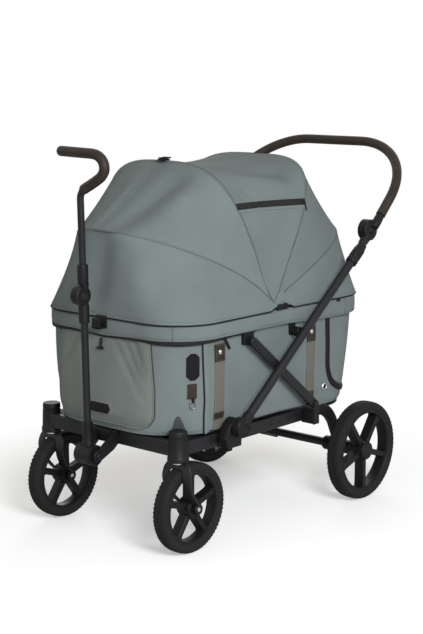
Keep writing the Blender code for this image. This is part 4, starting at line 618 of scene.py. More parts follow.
def hem_line(end_y, stop_y, shares):
    """A skirt's hem from one side's pivot round an end of the basket to the other, rising at its corners."""
    half = HOOD_X + HEM_OUT
    toward = 1.0 if end_y > HOOD.y else -1.0
    end_y = end_y + toward * HEM_OUT
    corner = RIM_CORNER - (RIM_X - half)
    across, bend = half - corner, corner * math.pi / 2
    total = abs(end_y - stop_y) - corner + bend + across
    done = total * np.abs(shares)
    turn = np.clip((done - across) / corner, 0.0, math.pi / 2)
    x = np.minimum(done, across) + corner * np.sin(turn)
    y = end_y - toward * (corner * (1.0 - np.cos(turn)) + np.clip(done - across - bend, 0.0, None))
    rise = HEM_CORNER_RISE * (1.0 - smoothstep(total - done, 0.0, HEM_CORNER_RUN))
    return np.stack([np.sign(shares) * x, y, HEM_Z + rise], -1)


def edge_line(edge, shares):
    return hem_line(*HEMS[edge], shares) if edge in HEMS else bow_line(edge, shares)


def ripples(s, t, seed, count=7):
    """Soft tension folds that run from edge to edge of a panel."""
    made = np.zeros(np.broadcast(s, t).shape)
    picks = np.random.default_rng(seed)
    for _ in range(count):
        high, lean, phase, size = picks.uniform((5, -1.2, 0, 0.4), (19, 1.2, 6.28, 1.0))
        made = made + size * np.sin(high * s + lean * t * 3 + phase)
    return made / count


def valley(s, t, start, end, width, depth):
    """A fold along a line in a panel's own coordinates; positive depth goes inwards."""
    (s0, t0), (s1, t1) = start, end
    length2 = (s1 - s0) ** 2 + (t1 - t0) ** 2
    along = np.clip(((s - s0) * (s1 - s0) + (t - t0) * (t1 - t0)) / length2, 0.0, 1.0)
    away = np.hypot(s - s0 - along * (s1 - s0), (t - t0 - along * (t1 - t0)) * 0.6)
    fade = np.minimum(1.0, 4.0 * np.minimum(along, 1.0 - along) + 0.25)
    return -depth * fade * np.exp(-(away / width) ** 2)


PANEL_ROWS, PANEL_COLS, PANEL_REACH = 30, 170, 0.9990
PANEL_SHARES = np.sin(np.linspace(-1.0, 1.0, PANEL_COLS) * math.pi / 2) * PANEL_REACH
# panel: first and second edge, its node, what it rests on, sag, waves, seed; folds as start, end, width, depth
PANELS = {
    "hood_rear_skirt": ("rear_hem", "hood_rear", "rear_skirt", ["rear_bow", "rim_frame"], 0.004, 0.0030, 3, ()),
    "hood_rear_cloth": ("hood_rear", "hood_rear_top", "rear_panel", ["rear_bow", "rear_top_bow"],
                        0.008, 0.0034, 5, ()),
    "hood_top_cloth": ("hood_rear_top", "hood_main", "window_panel", ["rear_top_bow", "main_bow"],
                       0.016, 0.0036, 8,
                       (((0.280, 0.88), (0.53, 0.15), 0.085, -0.0140),
                        ((0.10, 0.90), (0.34, 0.12), 0.120, 0.0170),
                        ((0.46, 0.80), (0.61, 0.62), 0.026, 0.0050),
                        ((0.42, 0.90), (0.58, 0.80), 0.024, 0.0042),
                        ((-0.255, 0.88), (-0.50, 0.15), 0.075, -0.0060))),
    "hood_front_cloth": ("hood_main", "hood_front", "front_panel", ["main_bow", "front_bow"], 0.001, 0.0026, 13,
                         (((-0.005, 0.02), (-0.020, 1.05), 0.016, 0.0060),
                          ((0.135, 0.00), (0.060, 1.20), 0.100, 0.0200),
                          ((-0.120, 0.20), (-0.110, 1.10), 0.070, 0.0040),
                          ((0.300, 0.20), (0.260, 1.10), 0.090, -0.0070))),
    "hood_front_skirt": ("hood_front", "front_hem", "front_skirt", ["front_bow", "rim_frame"], 0.004, 0.0028, 21,
                         (((0.075, -0.25), (-0.100, 1.08), 0.080, 0.0160),
                          ((-0.18, 0.05), (-0.26, 0.95), 0.060, 0.0050),
                          ((0.250, 0.00), (0.200, 1.00), 0.080, -0.0060)))}
panels = {}


def hood_normals(grid):
    normals = grid_normals(grid, False)
    return normals * turned_out(grid, normals, HOOD)


def panel_grid(first, second, sag, wave, seed, folds):
    """Rows run from the first edge line to the second; columns run over the hood."""
    t = np.linspace(0.0, 1.0, PANEL_ROWS)[:, None]
    s = PANEL_SHARES[None]
    a, b = edge_line(first, PANEL_SHARES), edge_line(second, PANEL_SHARES)
    grid = a[None] * (1 - t[..., None]) + b[None] * t[..., None]
    wide = np.linalg.norm(b - a, axis=1)[None]
    middle = 4 * t * (1 - t)
    rise = wave * ripples(s, t, seed) * middle ** 0.6 * np.minimum(wide / 0.2, 1.0)
    rise = rise - sag * middle * np.minimum(wide / 0.35, 1.2)
    rise = rise - 0.0009 * (np.exp(-(t * wide / 0.005) ** 2) + np.exp(-((1 - t) * wide / 0.005) ** 2))
    for fold in folds:
        rise = rise + valley(s, t, *fold) * middle ** 0.5
    return grid + hood_normals(grid) * rise[..., None]


def coordinates(made):
    kept = np.zeros(len(made.data.vertices) * 3, np.float32)
    made.data.vertices.foreach_get("co", kept)
    return kept


def between(made, shares):
    """Ease each vertex's share of the way across a panel, and bake the piece's transform; its points stay as they
    were.
    """
    kept = coordinates(made)
    line = np.zeros((len(kept) // 3, 3), np.float32)
    line[:, 0] = 0.5 - np.sin(np.arcsin(1.0 - 2.0 * np.clip(shares, 0.0, 1.0)) / 3.0)
    made.data.vertices.foreach_set("co", line.ravel())
    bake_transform(made)
    made.data.vertices.foreach_set("co", kept)
    made.data.update()


def ride_skirt(made):
    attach(made, "hood_front")
    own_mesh(made)


def on_panel(made, panel):
    """Tie a piece on the front skirt to the front bow; on other panels, find the panel row nearest each of its
    points.
    """
    if panel == "hood_front_skirt":
        ride_skirt(made)
        return
    spots = coordinates(made).reshape(-1, 3) - (0.0, STEM_Y, 0.0)
    tree = KDTree(PANEL_ROWS * PANEL_COLS)
    for k, place in enumerate(panels[panel][1].reshape(-1, 3)):
        tree.insert(place, k)
    tree.balance()
    rows = np.array([tree.find(spot)[1] // PANEL_COLS for spot in spots])
    between(made, rows / (PANEL_ROWS - 1))


for name, (first, second, stands_for, _, *shape) in PANELS.items():
    grid = panel_grid(first, second, *shape)
    panels[name] = (cloth(name, grid, CLOTH, None, stands_for), grid)
for name, (made, grid) in panels.items():
    if name == "hood_front_skirt":
        ride_skirt(made)
    else:
        between(made, np.tile(np.repeat(np.linspace(0.0, 1.0, PANEL_ROWS), PANEL_COLS), 2))


# Basket cloth

SHELL_Z = (0.3083, 0.3183, 0.3640, 0.5697)
SHELL_HALF = (0.2540, 0.2575, 0.2605, 0.2635)
SHELL_FRONT = (-0.0330, -0.0370, -0.0390, -0.0155)
SHELL_REAR = (0.7500, 0.7540, 0.7600, 0.7790)
SHELL_CORNER = (0.1680, 0.1710, 0.1700, 0.1080)
SHELL_TAIL = (0.1215, 0.1235, 0.1225, 0.1060)
SHELL_LOW, SHELL_TOP = 0.3127, SHELL_Z[-1]
SHELL_ROWS, SHELL_COLS = 46, 320
DROOP, DROOP_U, DROOP_HALF, DROOP_HIGH = 0.013, 0.830, 0.130, 0.10
HOUSING_DENT, HOUSING_U, HOUSING_HALF = 0.0060, 0.238, 0.034
WALL_CENTRE = (0.0, 0.38, 0.45)


def loop_length(half, front, rear, corner, tail=None):
    tail = corner if tail is None else tail
    return 2 * (2 * half - corner - tail + math.pi * (corner + tail) / 2 + rear - front - corner - tail)


def loop_point(u, half, front, rear, corner, tail=None):
    """Points and outward directions of a loop with front and rear corners, u metres from its front middle."""
    tail = corner if tail is None else tail
    total = loop_length(half, front, rear, corner, tail)
    u = (u + total / 2) % total - total / 2
    sign = np.where(u < 0, -1.0, 1.0)
    s = np.abs(u)
    across, bend, side = half - corner, corner * math.pi / 2, rear - front - corner - tail
    first = np.clip((s - across) / corner, 0.0, math.pi / 2)
    second = np.clip((s - across - bend - side) / tail, 0.0, math.pi / 2)
    back = np.clip(s - across - bend - side - tail * math.pi / 2, 0.0, None)
    x = np.minimum(s, across) + corner * np.sin(first) - tail * (1.0 - np.cos(second)) - back
    y = (front + corner * (1.0 - np.cos(first)) + np.clip(s - across - bend, 0.0, side)
         + tail * np.sin(second))
    turn = first + second
    return x * sign, y, np.sin(turn) * sign, -np.cos(turn)


def ring_points(size, count, z, proud=0.0):
    """Points right round a loop at even steps."""
    x, y, nx, ny = loop_point(np.linspace(-0.5, 0.5, count, endpoint=False) * loop_length(*size), *size)
    return np.stack([x + nx * proud, y + ny * proud, np.full_like(x, z)], -1)


def shell_size(z):
    return [np.interp(z, SHELL_Z, row)
            for row in (SHELL_HALF, SHELL_FRONT, SHELL_REAR, SHELL_CORNER, SHELL_TAIL)]


def wall_bulge(u, z):
    """How far the basket's cloth stands out: a soft belly and shallow pulls."""
    t = np.clip((z - SHELL_LOW) / (SHELL_TOP - SHELL_LOW), 0.0, 1.0)
    pull = 0.0011 * np.sin(23.0 * u + 5.0 * z) + 0.0008 * np.sin(41.0 * u - 17.0 * z + 1.3)
    return 0.0042 * np.sin(math.pi * t) ** 0.8 + pull * np.sin(math.pi * t)


def wall_point(u, z, proud=0.0):
    """Points on the basket's outer cloth, which is dented at the caster housings and droops at the rear."""
    u, z = np.broadcast_arrays(np.asarray(u, float), np.asarray(z, float))
    size = shell_size(z)
    x, y, nx, ny = loop_point(u, *size)
    total = loop_length(*size)
    reach = np.abs((u + total / 2) % total - total / 2)
    dent = HOUSING_DENT * np.exp(-((reach - HOUSING_U) / HOUSING_HALF) ** 2)
    out = wall_bulge(u, z) - dent * (1.0 - smoothstep(z, 0.372, 0.430)) + proud
    droop = DROOP * np.exp(-((reach - DROOP_U) / DROOP_HALF) ** 2)
    droop = droop * smoothstep(SHELL_Z[0] + DROOP_HIGH - z, 0.0, DROOP_HIGH)
    return np.stack([x + nx * out, y + ny * out, z - droop], -1)


def band_point(u, z, proud=0.0):
    u, z, proud = np.broadcast_arrays(np.asarray(u, float), np.asarray(z, float), np.asarray(proud, float))
    x, y, nx, ny = loop_point(u, *BAND_LOOP)
    return np.stack([x + nx * proud, y + ny * proud, z], -1)


def out_of(u, z, place=wall_point):
    return unit(place(u, z, 0.01) - place(u, z))


def side_u(y, z):
    """The place round the wall of a point of the right side, given by its y."""
    half, front, _, corner, _ = shell_size(z)
    return half - corner + corner * math.pi / 2 + y - front - corner


def sag_with_frame(made):
    """The cloth hangs from the rim, on its own copy of its mesh."""
    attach(made, "rim")
    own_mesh(made)


def hang(made, place):
    if place is band_point:
        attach(made, "rim")
    else:
        sag_with_frame(made)


def strip(name, base, normal, half_wide, section, material, proud=0.0, swap=False):
    """A low section, in (share across, height) pairs, along a line on a surface."""
    across = unit(np.cross(unit(np.gradient(base, axis=0)), normal))
    half_wide = np.broadcast_to(half_wide, len(base))
    grid = np.stack([base + across * (a * half_wide)[:, None] + normal * (proud + h) for a, h in section], 1)
    return skin(name, grid, material, swap=swap)


def on_wall(name, line, half_wide, thick, material, proud=0.0, crown=0.0, place=wall_point):
    """A strip that lies on the wall along a line of (u, z) points."""
    u, z = np.asarray(line, float).T
    top = thick * (1.0 + crown)
    half = [(-1.0, 0.0), (-1.0, thick * 0.7), (-0.92, thick), (-0.5, top)]
    section = half + [(0.0, thick * (1.0 + crown * 1.3))] + [(-a, h) for a, h in reversed(half)]
    hang(strip(name, place(u, z), out_of(u, z, place), half_wide, section, material, proud), place)


def patch_on_wall(name, outline, thick, material, proud=0.0002, place=wall_point):
    """A flat patch, given by its outline in (u, z), laid on the wall."""
    shape = extruded([(u, z, 0.0) for u, z in outline], (0.0, 0.0, thick))
    bevelled(shape, [e for e in shape.edges if all(abs(v.co.z - thick) < 1e-9 for v in e.verts)], 0.0004, 2)
    bmesh.ops.triangulate(shape, faces=shape.faces[:])
    bmesh.ops.subdivide_edges(shape, edges=[e for e in shape.edges if e.calc_length() > 0.012], cuts=3)
    bmesh.ops.triangulate(shape, faces=shape.faces[:])
    layer = shape.loops.layers.uv.new("metres")
    for face in shape.faces:
        for corner in face.loops:
            corner[layer].uv = corner.vert.co.xy
    flat = np.array([v.co for v in shape.verts])
    for v, spot in zip(shape.verts, place(flat[:, 0], flat[:, 1], proud + flat[:, 2])):
        v.co = spot
    sag_with_frame(bmesh_piece(name, shape, material, None, None, 40.0))


def chamfered(cx, cz, wide, high, cut):
    w, h = wide / 2, high / 2
    corner = ((w, h - cut), (w - cut, h))
    half = [(cx + a, cz + b) for a, b in corner] + [(cx - a, cz + b) for a, b in corner[::-1]]
    return half + [(2 * cx - a, 2 * cz - b) for a, b in half]


def stitch_row(name, path, normals, material, body=None, length=0.0032, pitch=0.0046, width=0.0006):
    """Short thread stitches along a line on a surface."""
    path = np.asarray(path, float)
    run = np.concatenate([[0.0], np.cumsum(np.linalg.norm(np.diff(path, axis=0), axis=1))])
    starts = np.arange(pitch / 2, run[-1] - pitch / 2, pitch)
    first, last, normal = (np.stack([np.interp(places, run, table[:, k]) for k in range(3)], -1)
                           for places, table in ((starts, path), (starts + length, path), (starts, normals)))
    normal, along = unit(normal), unit(last - first)
    across = np.cross(along, normal) * width / 2
    lift, inset = normal * width, along * width * 0.5
    low = [first - across, first + across, last + across, last - across]
    high = [first - across * 0.6 + lift + inset, first + across * 0.6 + lift + inset,
            last + across * 0.6 + lift - inset, last - across * 0.6 + lift - inset]
    box = np.array([(0, 3, 2, 1), (4, 5, 6, 7), (0, 1, 5, 4), (1, 2, 6, 5), (2, 3, 7, 6), (3, 0, 4, 7)])
    faces = (np.arange(len(starts))[:, None, None] * 8 + box).reshape(-1, 4)
    return mesh_piece(name, np.stack(low + high, 1).reshape(-1, 3), faces, material, body)


# Basket wall
shell_z = np.linspace(SHELL_TOP, SHELL_LOW, SHELL_ROWS)[:, None]
shell_total = np.array([loop_length(*shell_size(z)) for z in shell_z[:, 0]])[:, None]
shell_share = np.linspace(-1.0, 1.0, SHELL_COLS, endpoint=False)[None]
shell_grid = wall_point(shell_share * shell_total / 2, shell_z)
sag_with_frame(cloth("basket_cloth", shell_grid, CLOTH, None, "basket_wall", True, 0.0022, WALL_CENTRE))

# Tray under the cloth, on the frame
TRAY_ROWS = mm((364, -3), (330, -3.2), (318.3, -3.5), (311, -4), (308.6, -10))
tray_grid = [ring_points(shell_size(z), 200, z, out) for z, out in TRAY_ROWS]
centre_line = np.array((0.0, 0.37, 0.3086))
for inward in (0.5, 0.05):
    tray_grid.append(centre_line + (tray_grid[4] - centre_line) * (inward, inward, 1.0))
cloth("basket_tray", np.array(tray_grid), LINING_AND_SHADE, "chassis", "basket_tub", True, 0.0018, (0.0, 0.38, 0.36))

# Base board between the rails, and under the rear corners
solid_box("base_board", (-0.2280, 0.0, 0.2900), (0.2280, 0.6000, 0.3076), PLASTIC, "chassis", 0.001)
BOARD_SIZE = (0.2520, 0.0, 0.7470, 0.1600, 0.1200)
board = np.array([ring_points(BOARD_SIZE, 400, z, -inset)
                  for inset, z in mm((4, 288), (0, 289), (0, 306.6), (2, 307.6))])
board[..., 1] = np.maximum(board[..., 1], 0.5850)
skin("base_board_rear", board, PLASTIC, "chassis", sharp=50.0, planar=True)

# Floor pad
PAD_HALF, PAD_FRONT, PAD_REAR, PAD_CORNER = 0.243, -0.023, 0.738, 0.159
pad = []
for inset, z in mm((10, 312), (3, 315), (0, 321), (1, 328), (5, 333), (12, 335.2), (30, 337.5), (60, 339),
                   (64, 337.6), (68, 339), (110, 339.4), (150, 339.5)):
    size = (PAD_HALF - inset, PAD_FRONT + inset, PAD_REAR - inset, max(PAD_CORNER - inset, 0.02))
    ring = ring_points(size, 160, z)
    ring[:, 2] += 0.0006 * np.sin(31 * ring[:, 0]) * np.sin(27 * ring[:, 1])
    pad.append(ring)
skin("floor_cushion", np.array(pad), PAD, "chassis", "floor_pad", sharp=50.0, planar=True)


# Band round the rim

BAND_SECTION = mm((-9.5, 604), (-8, 605.8), (-3, 606), (-0.4, 605), (0.8, 603), (1.1, 602.2), (0.6, 601.2),
                  (1.2, 600), (2.2, 590), (2.5, 580), (2.2, 570), (1.3, 560), (0.7, 559), (1.2, 558), (0.8, 555.6),
                  (-0.6, 554.2), (-2.4, 554.3), (-2.8, 556), (-2.2, 570), (-1.8, 585), (-2.2, 600), (-3.5, 603),
                  (-8.5, 603))


def edge_lift(u):
    """How much the band's lower edge is drawn up round the front corners and the sides."""
    return 0.0095 * smoothstep(np.abs(u), -0.10, 0.15) * (1.0 - smoothstep(np.abs(u), 0.60, 0.85))


band_u = np.linspace(-0.5, 0.5, 360, endpoint=False) * loop_length(*BAND_LOOP)
band_grid = [band_point(band_u, z + edge_lift(band_u) * min(max((0.585 - z) / 0.025, 0.0), 1.0),
                        out + 0.0007 * np.sin(29 * band_u) * (out > 0)) for out, z in BAND_SECTION]
skin("rim_band_cloth", np.array(band_grid), CLOTH, "rim", "rim_band", True, 50.0)


def upright(u, low, high, count=14):
    return np.stack([np.full(count, u), np.linspace(high, low, count)], 1)


for sign, label in SIDES:
    for k, u in enumerate((0.228, 0.910)):
        on_wall(f"band_seam_{label}_{k}", upright(sign * u, 0.5548 + float(edge_lift(u)), 0.6052), 0.0011, 0.0008,
                SEAM, 0.0024, 0.0, band_point)
    on_wall(f"band_clip_{label}", upright(sign * 0.876, 0.5975, 0.6068, 6), 0.0075, 0.0045, PLASTIC, 0.0016, 0.3,
            band_point)

# Rim tube with its leg hinges, hood posts and the hook for the pull handle
TUBE_Z, TUBE_INSET, HINGE_Y, HINGE_Z = 0.578, 0.0115, 0.4318, 0.538
tube_loop = (RIM_X - TUBE_INSET, BASKET_FRONT + TUBE_INSET, BASKET_REAR - TUBE_INSET, RIM_CORNER - TUBE_INSET)
sweep("rim_tube", ring_points(tube_loop, 360, TUBE_Z), round_section(0.0078, 20), PAINT, "rim", "rim_frame",
      True)
for sign, label in SIDES:
    solid_box(f"rim_hanger_{label}", (sign * 0.2635, HINGE_Y - 0.012, HINGE_Z - 0.010),
              (sign * 0.2720, HINGE_Y + 0.012, TUBE_Z), PLASTIC, "rim", 0.002)
    lathe(f"rim_knuckle_{label}", mm((0, 297.5), (12.2, 297.5), (13.4, 296.2), (13.4, 266), (12, 264), (0, 264)),
          sign, (0.0, HINGE_Y, HINGE_Z), PLASTIC, "rim", 40)
    post = mm((-16, -30), (16, -30)) + arc_points((0.0, 0.010), 0.009, 0, 180, 12)
    plate(f"hood_post_{label}", post, 1.0, (sign * 0.2665, HOOD.y, HOOD.z - 0.010), 0.0044, PLASTIC, "rim")
    lathe(f"hood_pin_{label}", mm((0, 268), (4, 268), (4, 241), (0, 241)), sign, (0.0, HOOD.y, HOOD.z), METAL,
          "rim", 24)
HOOK_BACK = BASKET_FRONT - 0.0010
for name, left, right, front, back, top, bevel in (("plate", -0.022, 0.016, 0.0045, 0.0, 0.6115, 0.0015),
                                                   ("floor", -0.018, 0.010, 0.0260, 0.0, 0.5830, 0.0022),
                                                   ("lip", -0.018, 0.010, 0.0260, 0.0200, 0.6050, 0.0022)):
    solid_box(f"hook_{name}", (left, HOOK_BACK - front, 0.5770), (right, HOOK_BACK - back, top), PLASTIC, "rim",
              bevel)

# Zip under the band, round the front
zip_u = np.linspace(-0.500, 0.500, 220)
zip_half = 0.0030 + 0.0030 * np.exp(-((np.abs(zip_u) - 0.240) / 0.110) ** 2)
on_wall("front_zip", np.stack([zip_u, 0.5552 + edge_lift(zip_u) - zip_half], 1), zip_half, 0.0026, ZIP, 0.0060,
        0.4)
for sign, label in SIDES:
    for k, (u, lean) in enumerate(((0.390, 0.010), (0.474, 0.001))):
        line = np.stack([np.linspace(u - lean, u + lean * 0.5, 8) * sign, np.linspace(0.5550, 0.5290, 8)], 1)
        on_wall(f"zip_pull_{label}_{k}", line, (0.0022, 0.0026, 0.0030, 0.0032, 0.0033, 0.0034, 0.0034, 0.0028),
                0.0034, PLASTIC, 0.0050, 0.3)
        patch_on_wall(f"zip_slider_{label}_{k}", round_rect((u - lean) * sign, 0.5570, 0.008, 0.009, 0.002),
                      0.0070, PLASTIC, 0.0012)


# Front pocket

POCKET_TOP, POCKET_LOW, POCKET_ROUND = 0.5560, 0.3300, 0.042
LABEL_WIDE, LABEL_HIGH, LABEL_U, LABEL_Z = 0.080, 0.0265, 0.004, 0.368


def pocket_half(z):
    """Half the pocket's width at a height: straight, then drawn in, then a rounded corner."""
    plain = np.interp(z, (POCKET_LOW, 0.3730, 0.4360, 0.4920, POCKET_TOP), (0.172, 0.174, 0.174, 0.168, 0.159))
    drop = np.clip((POCKET_LOW + POCKET_ROUND - z) / POCKET_ROUND, 0.0, 1.0)
    return plain - POCKET_ROUND * (1.0 - np.sqrt(np.maximum(1.0 - drop * drop, 0.0)))


def pocket_point(u, z, proud=0.0):
    """The pocket's cloth stands off in the middle, with soft folds that run down to its corner."""
    s = u / np.maximum(pocket_half(z), 1e-6)
    t = (z - POCKET_LOW) / (POCKET_TOP - POCKET_LOW)
    edge = np.clip(1.0 - np.abs(s) ** 30, 0.0, 1.0) * np.clip(t * 9.0, 0.0, 1.0)
    off = 0.0060 * edge * (1.0 - 0.5 * t)
    for slope, shift, width, depth in ((1.35, 0.345, 0.012, 0.0052), (1.5, 0.405, 0.014, 0.0056),
                                       (1.2, 0.290, 0.012, 0.0042), (-1.5, 0.400, 0.014, 0.0040)):
        away = (z - 0.30 - shift + slope * u) / math.hypot(1.0, slope)
        fade = np.exp(-((u * np.sign(slope) - 0.09) / 0.07) ** 2)
        off = off - depth * edge * fade * np.exp(-(away / width) ** 2)
    return wall_point(u, z, 0.0022 + off + proud)


pocket_z = POCKET_LOW + (POCKET_TOP - POCKET_LOW) * (1 - np.linspace(0, 1, 60)) ** 1.6
pocket_u = np.linspace(-1.0, 1.0, 90)[None] * pocket_half(pocket_z)[:, None]
pocket_grid = pocket_point(pocket_u, np.broadcast_to(pocket_z[:, None], pocket_u.shape))
sag_with_frame(cloth("front_pocket", pocket_grid, CLOTH_FRONT_PAINTED_LIGHT, centre=WALL_CENTRE))
side_line = np.stack([pocket_half(pocket_z), pocket_z], 1)
low_half = float(pocket_half(POCKET_LOW))
low_line = [(u, POCKET_LOW) for u in np.linspace(low_half, -low_half, 40)[1:-1]]
piping = np.concatenate([side_line, low_line, side_line[::-1] * (-1.0, 1.0)])
sag_with_frame(sweep("pocket_piping", wall_point(*piping.T, 0.0036), round_section(0.0020, 10), CLOTH_FRONT_PAINTED_LIGHT))
# A dark cord just outside the pocket's edge is painted shadow.
shadow = piping * (1.020, 1.0) - (0.0, 0.0010)
sag_with_frame(sweep("pocket_shadow_line", wall_point(*shadow.T, 0.0004), round_section(0.0019, 8), LINING_AND_SHADE))


def label_outline(grow):
    w, h = LABEL_WIDE / 2 + grow, LABEL_HIGH / 2 + grow
    return [(LABEL_U + x, LABEL_Z + z) for x, z in ((w, 0.0), (w - 0.009, h), (0.009 - w, h), (-w, 0.0),
                                                    (0.009 - w, -h), (w - 0.009, -h))]


# Bare label on the pocket and bare tag beside it
patch_on_wall("label_edging", label_outline(0.0022), 0.0012, EDGING, 0.0002, pocket_point)
patch_on_wall("label", label_outline(0.0), 0.0020, BLACK_TAPE_AND_SHADE, 0.0002, pocket_point)
patch_on_wall("tag_edging", chamfered(0.273, 0.4955, 0.0400, 0.0750, 0.0120), 0.0012, EDGING)
patch_on_wall("tag", chamfered(0.273, 0.4955, 0.0362, 0.0712, 0.0110), 0.0020, BLACK_TAPE_AND_SHADE)

# Puller of the front zip
on_wall("front_puller_stem", upright(-0.008, 0.5240, 0.5500, 8), 0.0026, 0.0036, PLASTIC, 0.0075, 0.3)
on_wall("front_puller_bar", np.stack([np.linspace(-0.019, 0.003, 9), np.full(9, 0.5235)], 1),
        (0.0018, 0.0026, 0.0030, 0.0031, 0.0031, 0.0031, 0.0030, 0.0026, 0.0018), 0.0050, PLASTIC, 0.0072, 0.3)


def strap(label, sign, y, wide, tab_high, tab_low, band_high, band_low, snap_z):
    """Webbing down the side, with a leather tab and snap at its top and a leather band low down."""
    for name, high, low, count, wider, thick, material, proud, crown in (
            ("strap", 0.5520, 0.3180, 60, 0.0, 0.0016, WEBBING, 0.0004, 0.0),
            ("strap_tab", tab_high, tab_low, 14, 0.0012, 0.0022, LEATHER, 0.0017, 0.15),
            ("strap_band", band_high, band_low, 8, 0.0004, 0.0020, LEATHER, 0.0017, 0.10)):
        z = np.linspace(high, low, count)
        line = np.stack([side_u(y, z) * sign, z], 1)
        on_wall(f"{name}_{label}", line, wide / 2 + wider, thick, material, proud, crown)
    u = side_u(y, snap_z) * sign
    cap = mm((0, 2.2), (2.2, 2.1), (4, 1.5), (5, 0.9), (5.6, 1), (6.2, 0.4), (6.2, -0.8), (0, -0.8))
    sag_with_frame(lathe(f"strap_snap_{label}", cap, out_of(u, snap_z), wall_point(u, snap_z, 0.0038), METAL,
                         None, 32))
    half = wide / 2 - 0.0022
    for k, (a, b) in enumerate(((tab_high - 0.002, tab_low + 0.002), (band_high - 0.002, band_low + 0.002))):
        corners = np.array([(-half, a), (half, a), (half, b), (-half, b), (-half, a)])
        path = np.concatenate([np.linspace(here, there, 12, endpoint=False)
                               for here, there in zip(corners, corners[1:])])
        z = path[:, 1]
        u = (side_u(y, z) + path[:, 0]) * sign
        sag_with_frame(stitch_row(f"strap_stitch_{label}_{k}", wall_point(u, z, 0.0040), out_of(u, z), EDGING,
                                  None, 0.0022, 0.0034, 0.0005))


for sign, label in SIDES:
    strap(f"front_{label}", sign, 0.130, 0.038, 0.5450, 0.5000, 0.3640, 0.3460, 0.5240)
    strap(f"rear_{label}", sign, 0.520, 0.035, 0.5490, 0.4960, 0.3560, 0.3370, 0.5230)
    # the side opening's zip and its covering fold
    z = np.linspace(0.5540, 0.3130, 60)
    u = np.interp(z, (0.313, 0.402, 0.482, 0.554), (0.3040, 0.3060, 0.3020, 0.3000))
    on_wall(f"opening_zip_{label}", np.stack([u * sign, z], 1), 0.0022, 0.0014, ZIP, 0.0004)
    on_wall(f"opening_fold_{label}", np.stack([(u + 0.0095) * sign, z], 1), 0.0075, 0.0030, CLOTH, 0.0002, 0.25)
    u = np.linspace(0.310, 0.735, 80)
    line = np.stack([u * sign, 0.3165 - 0.0012 * np.sin((u - 0.31) * 7.4)], 1)
    on_wall(f"hem_zip_{label}", line, 0.0016, 0.0014, BLACK_TAPE_AND_SHADE, 0.0004)

# Leather tab with its ring beside the tag
RING_SPOT = (0.2735, 0.3960)
patch_on_wall("ring_tab", round_rect(0.2715, 0.4310, 0.0245, 0.0400, 0.0015), 0.0026, LEATHER, 0.0004)
ring_out = out_of(*RING_SPOT)
ring_across = unit(np.cross((0.0, 0.0, 1.0), ring_out))
ring_path = [wall_point(*RING_SPOT, 0.0052) + ring_across * a + (0.0, 0.0, b)
             for a, b in round_rect(0.0, 0.0, 0.0145, 0.0220, 0.0070, 7)]
sag_with_frame(sweep("tab_ring", ring_path, round_section(0.0014, 12), DARK_METAL, looped=True, up=ring_out))
on_wall("ring_loop", upright(0.2735, 0.4010, 0.4120, 8), 0.0034, 0.0030, BLACK_TAPE_AND_SHADE, 0.0030, 0.3)

# Eyelet, and the zip of the rear door
EYELET_U, EYELET_Z = 0.8140, 0.3600
for sign, label in SIDES:
    spot, out = wall_point(EYELET_U * sign, EYELET_Z, 0.0010), out_of(EYELET_U * sign, EYELET_Z)
    ring = mm((6.8, 0), (7, 1.4), (7.8, 2.2), (9, 1.8), (10.2, 0.4), (10.2, -0.4), (6.8, -0.4))
    sag_with_frame(lathe(f"eyelet_{label}", ring, out, spot, METAL, None, 40))
    # a black disc in the eyelet is painted shade for the inside of its hole
    sag_with_frame(lathe(f"eyelet_hole_shade_{label}", mm((0, 1.3), (6.9, 1.3), (6.9, -0.4), (0, -0.4)), out, spot,
                         BLACK_TAPE_AND_SHADE, None, 24))
door_half = loop_length(*shell_size(0.331)) / 2
door_line = mm((828, 554), (826, 490), (825, 430), (828, 405), (836, 385), (853, 365), (884, 349), (920, 340),
               (980, 336))
door_right = smooth_path([(u, z, 0.0) for u, z in door_line + [(door_half, 0.3355)]], 0.008)[:, :2]
door_left = door_right[::-1][1:] * (-1.0, 1.0) + (2 * door_half, 0.0)
door_line = np.concatenate([door_right, door_left])
past = door_line[:, 0] >= door_half
door_line[past, 0] += loop_length(*shell_size(door_line[past, 1])) - 2 * door_half
on_wall("door_zip", door_line, 0.0092, 0.0026, ZIP, 0.0004, 0.4)
on_wall("door_zip_flap", door_line, 0.0014, 0.0014, BLACK_TAPE_AND_SHADE, 0.0034, 0.4)

# Stitches round the wall and the band
for name, z in (("top", 0.5520), ("low", 0.3205)):
    u = np.linspace(-0.5, 0.5, 700) * loop_length(*shell_size(z))
    sag_with_frame(stitch_row(f"wall_stitch_{name}", wall_point(u, z, 0.0001), out_of(u, z), SEAM))
u = np.linspace(-0.5, 0.5, 900) * loop_length(*BAND_LOOP)
for k, z in enumerate((0.6017, 0.5600 + edge_lift(u))):
    stitch_row(f"band_stitch_{k}", band_point(u, z, 0.0014), out_of(u, z, band_point), SEAM, "rim")


# Hood seams, hems and fittings

def panel_line(panel, place, lift=0.0002, down=False):
    """A line across a panel's grid, or down it, with its outward directions."""
    grid = panels[panel][1]
    tables = [grid, hood_normals(grid)]
    if down:
        tables = [table.swapaxes(0, 1) for table in tables]
    low = min(int(place), len(tables[0]) - 2)
    share = place - low
    line, normal = (table[low] * (1 - share) + table[low + 1] * share for table in tables)
    normal = unit(normal)
    return line + normal * lift, normal


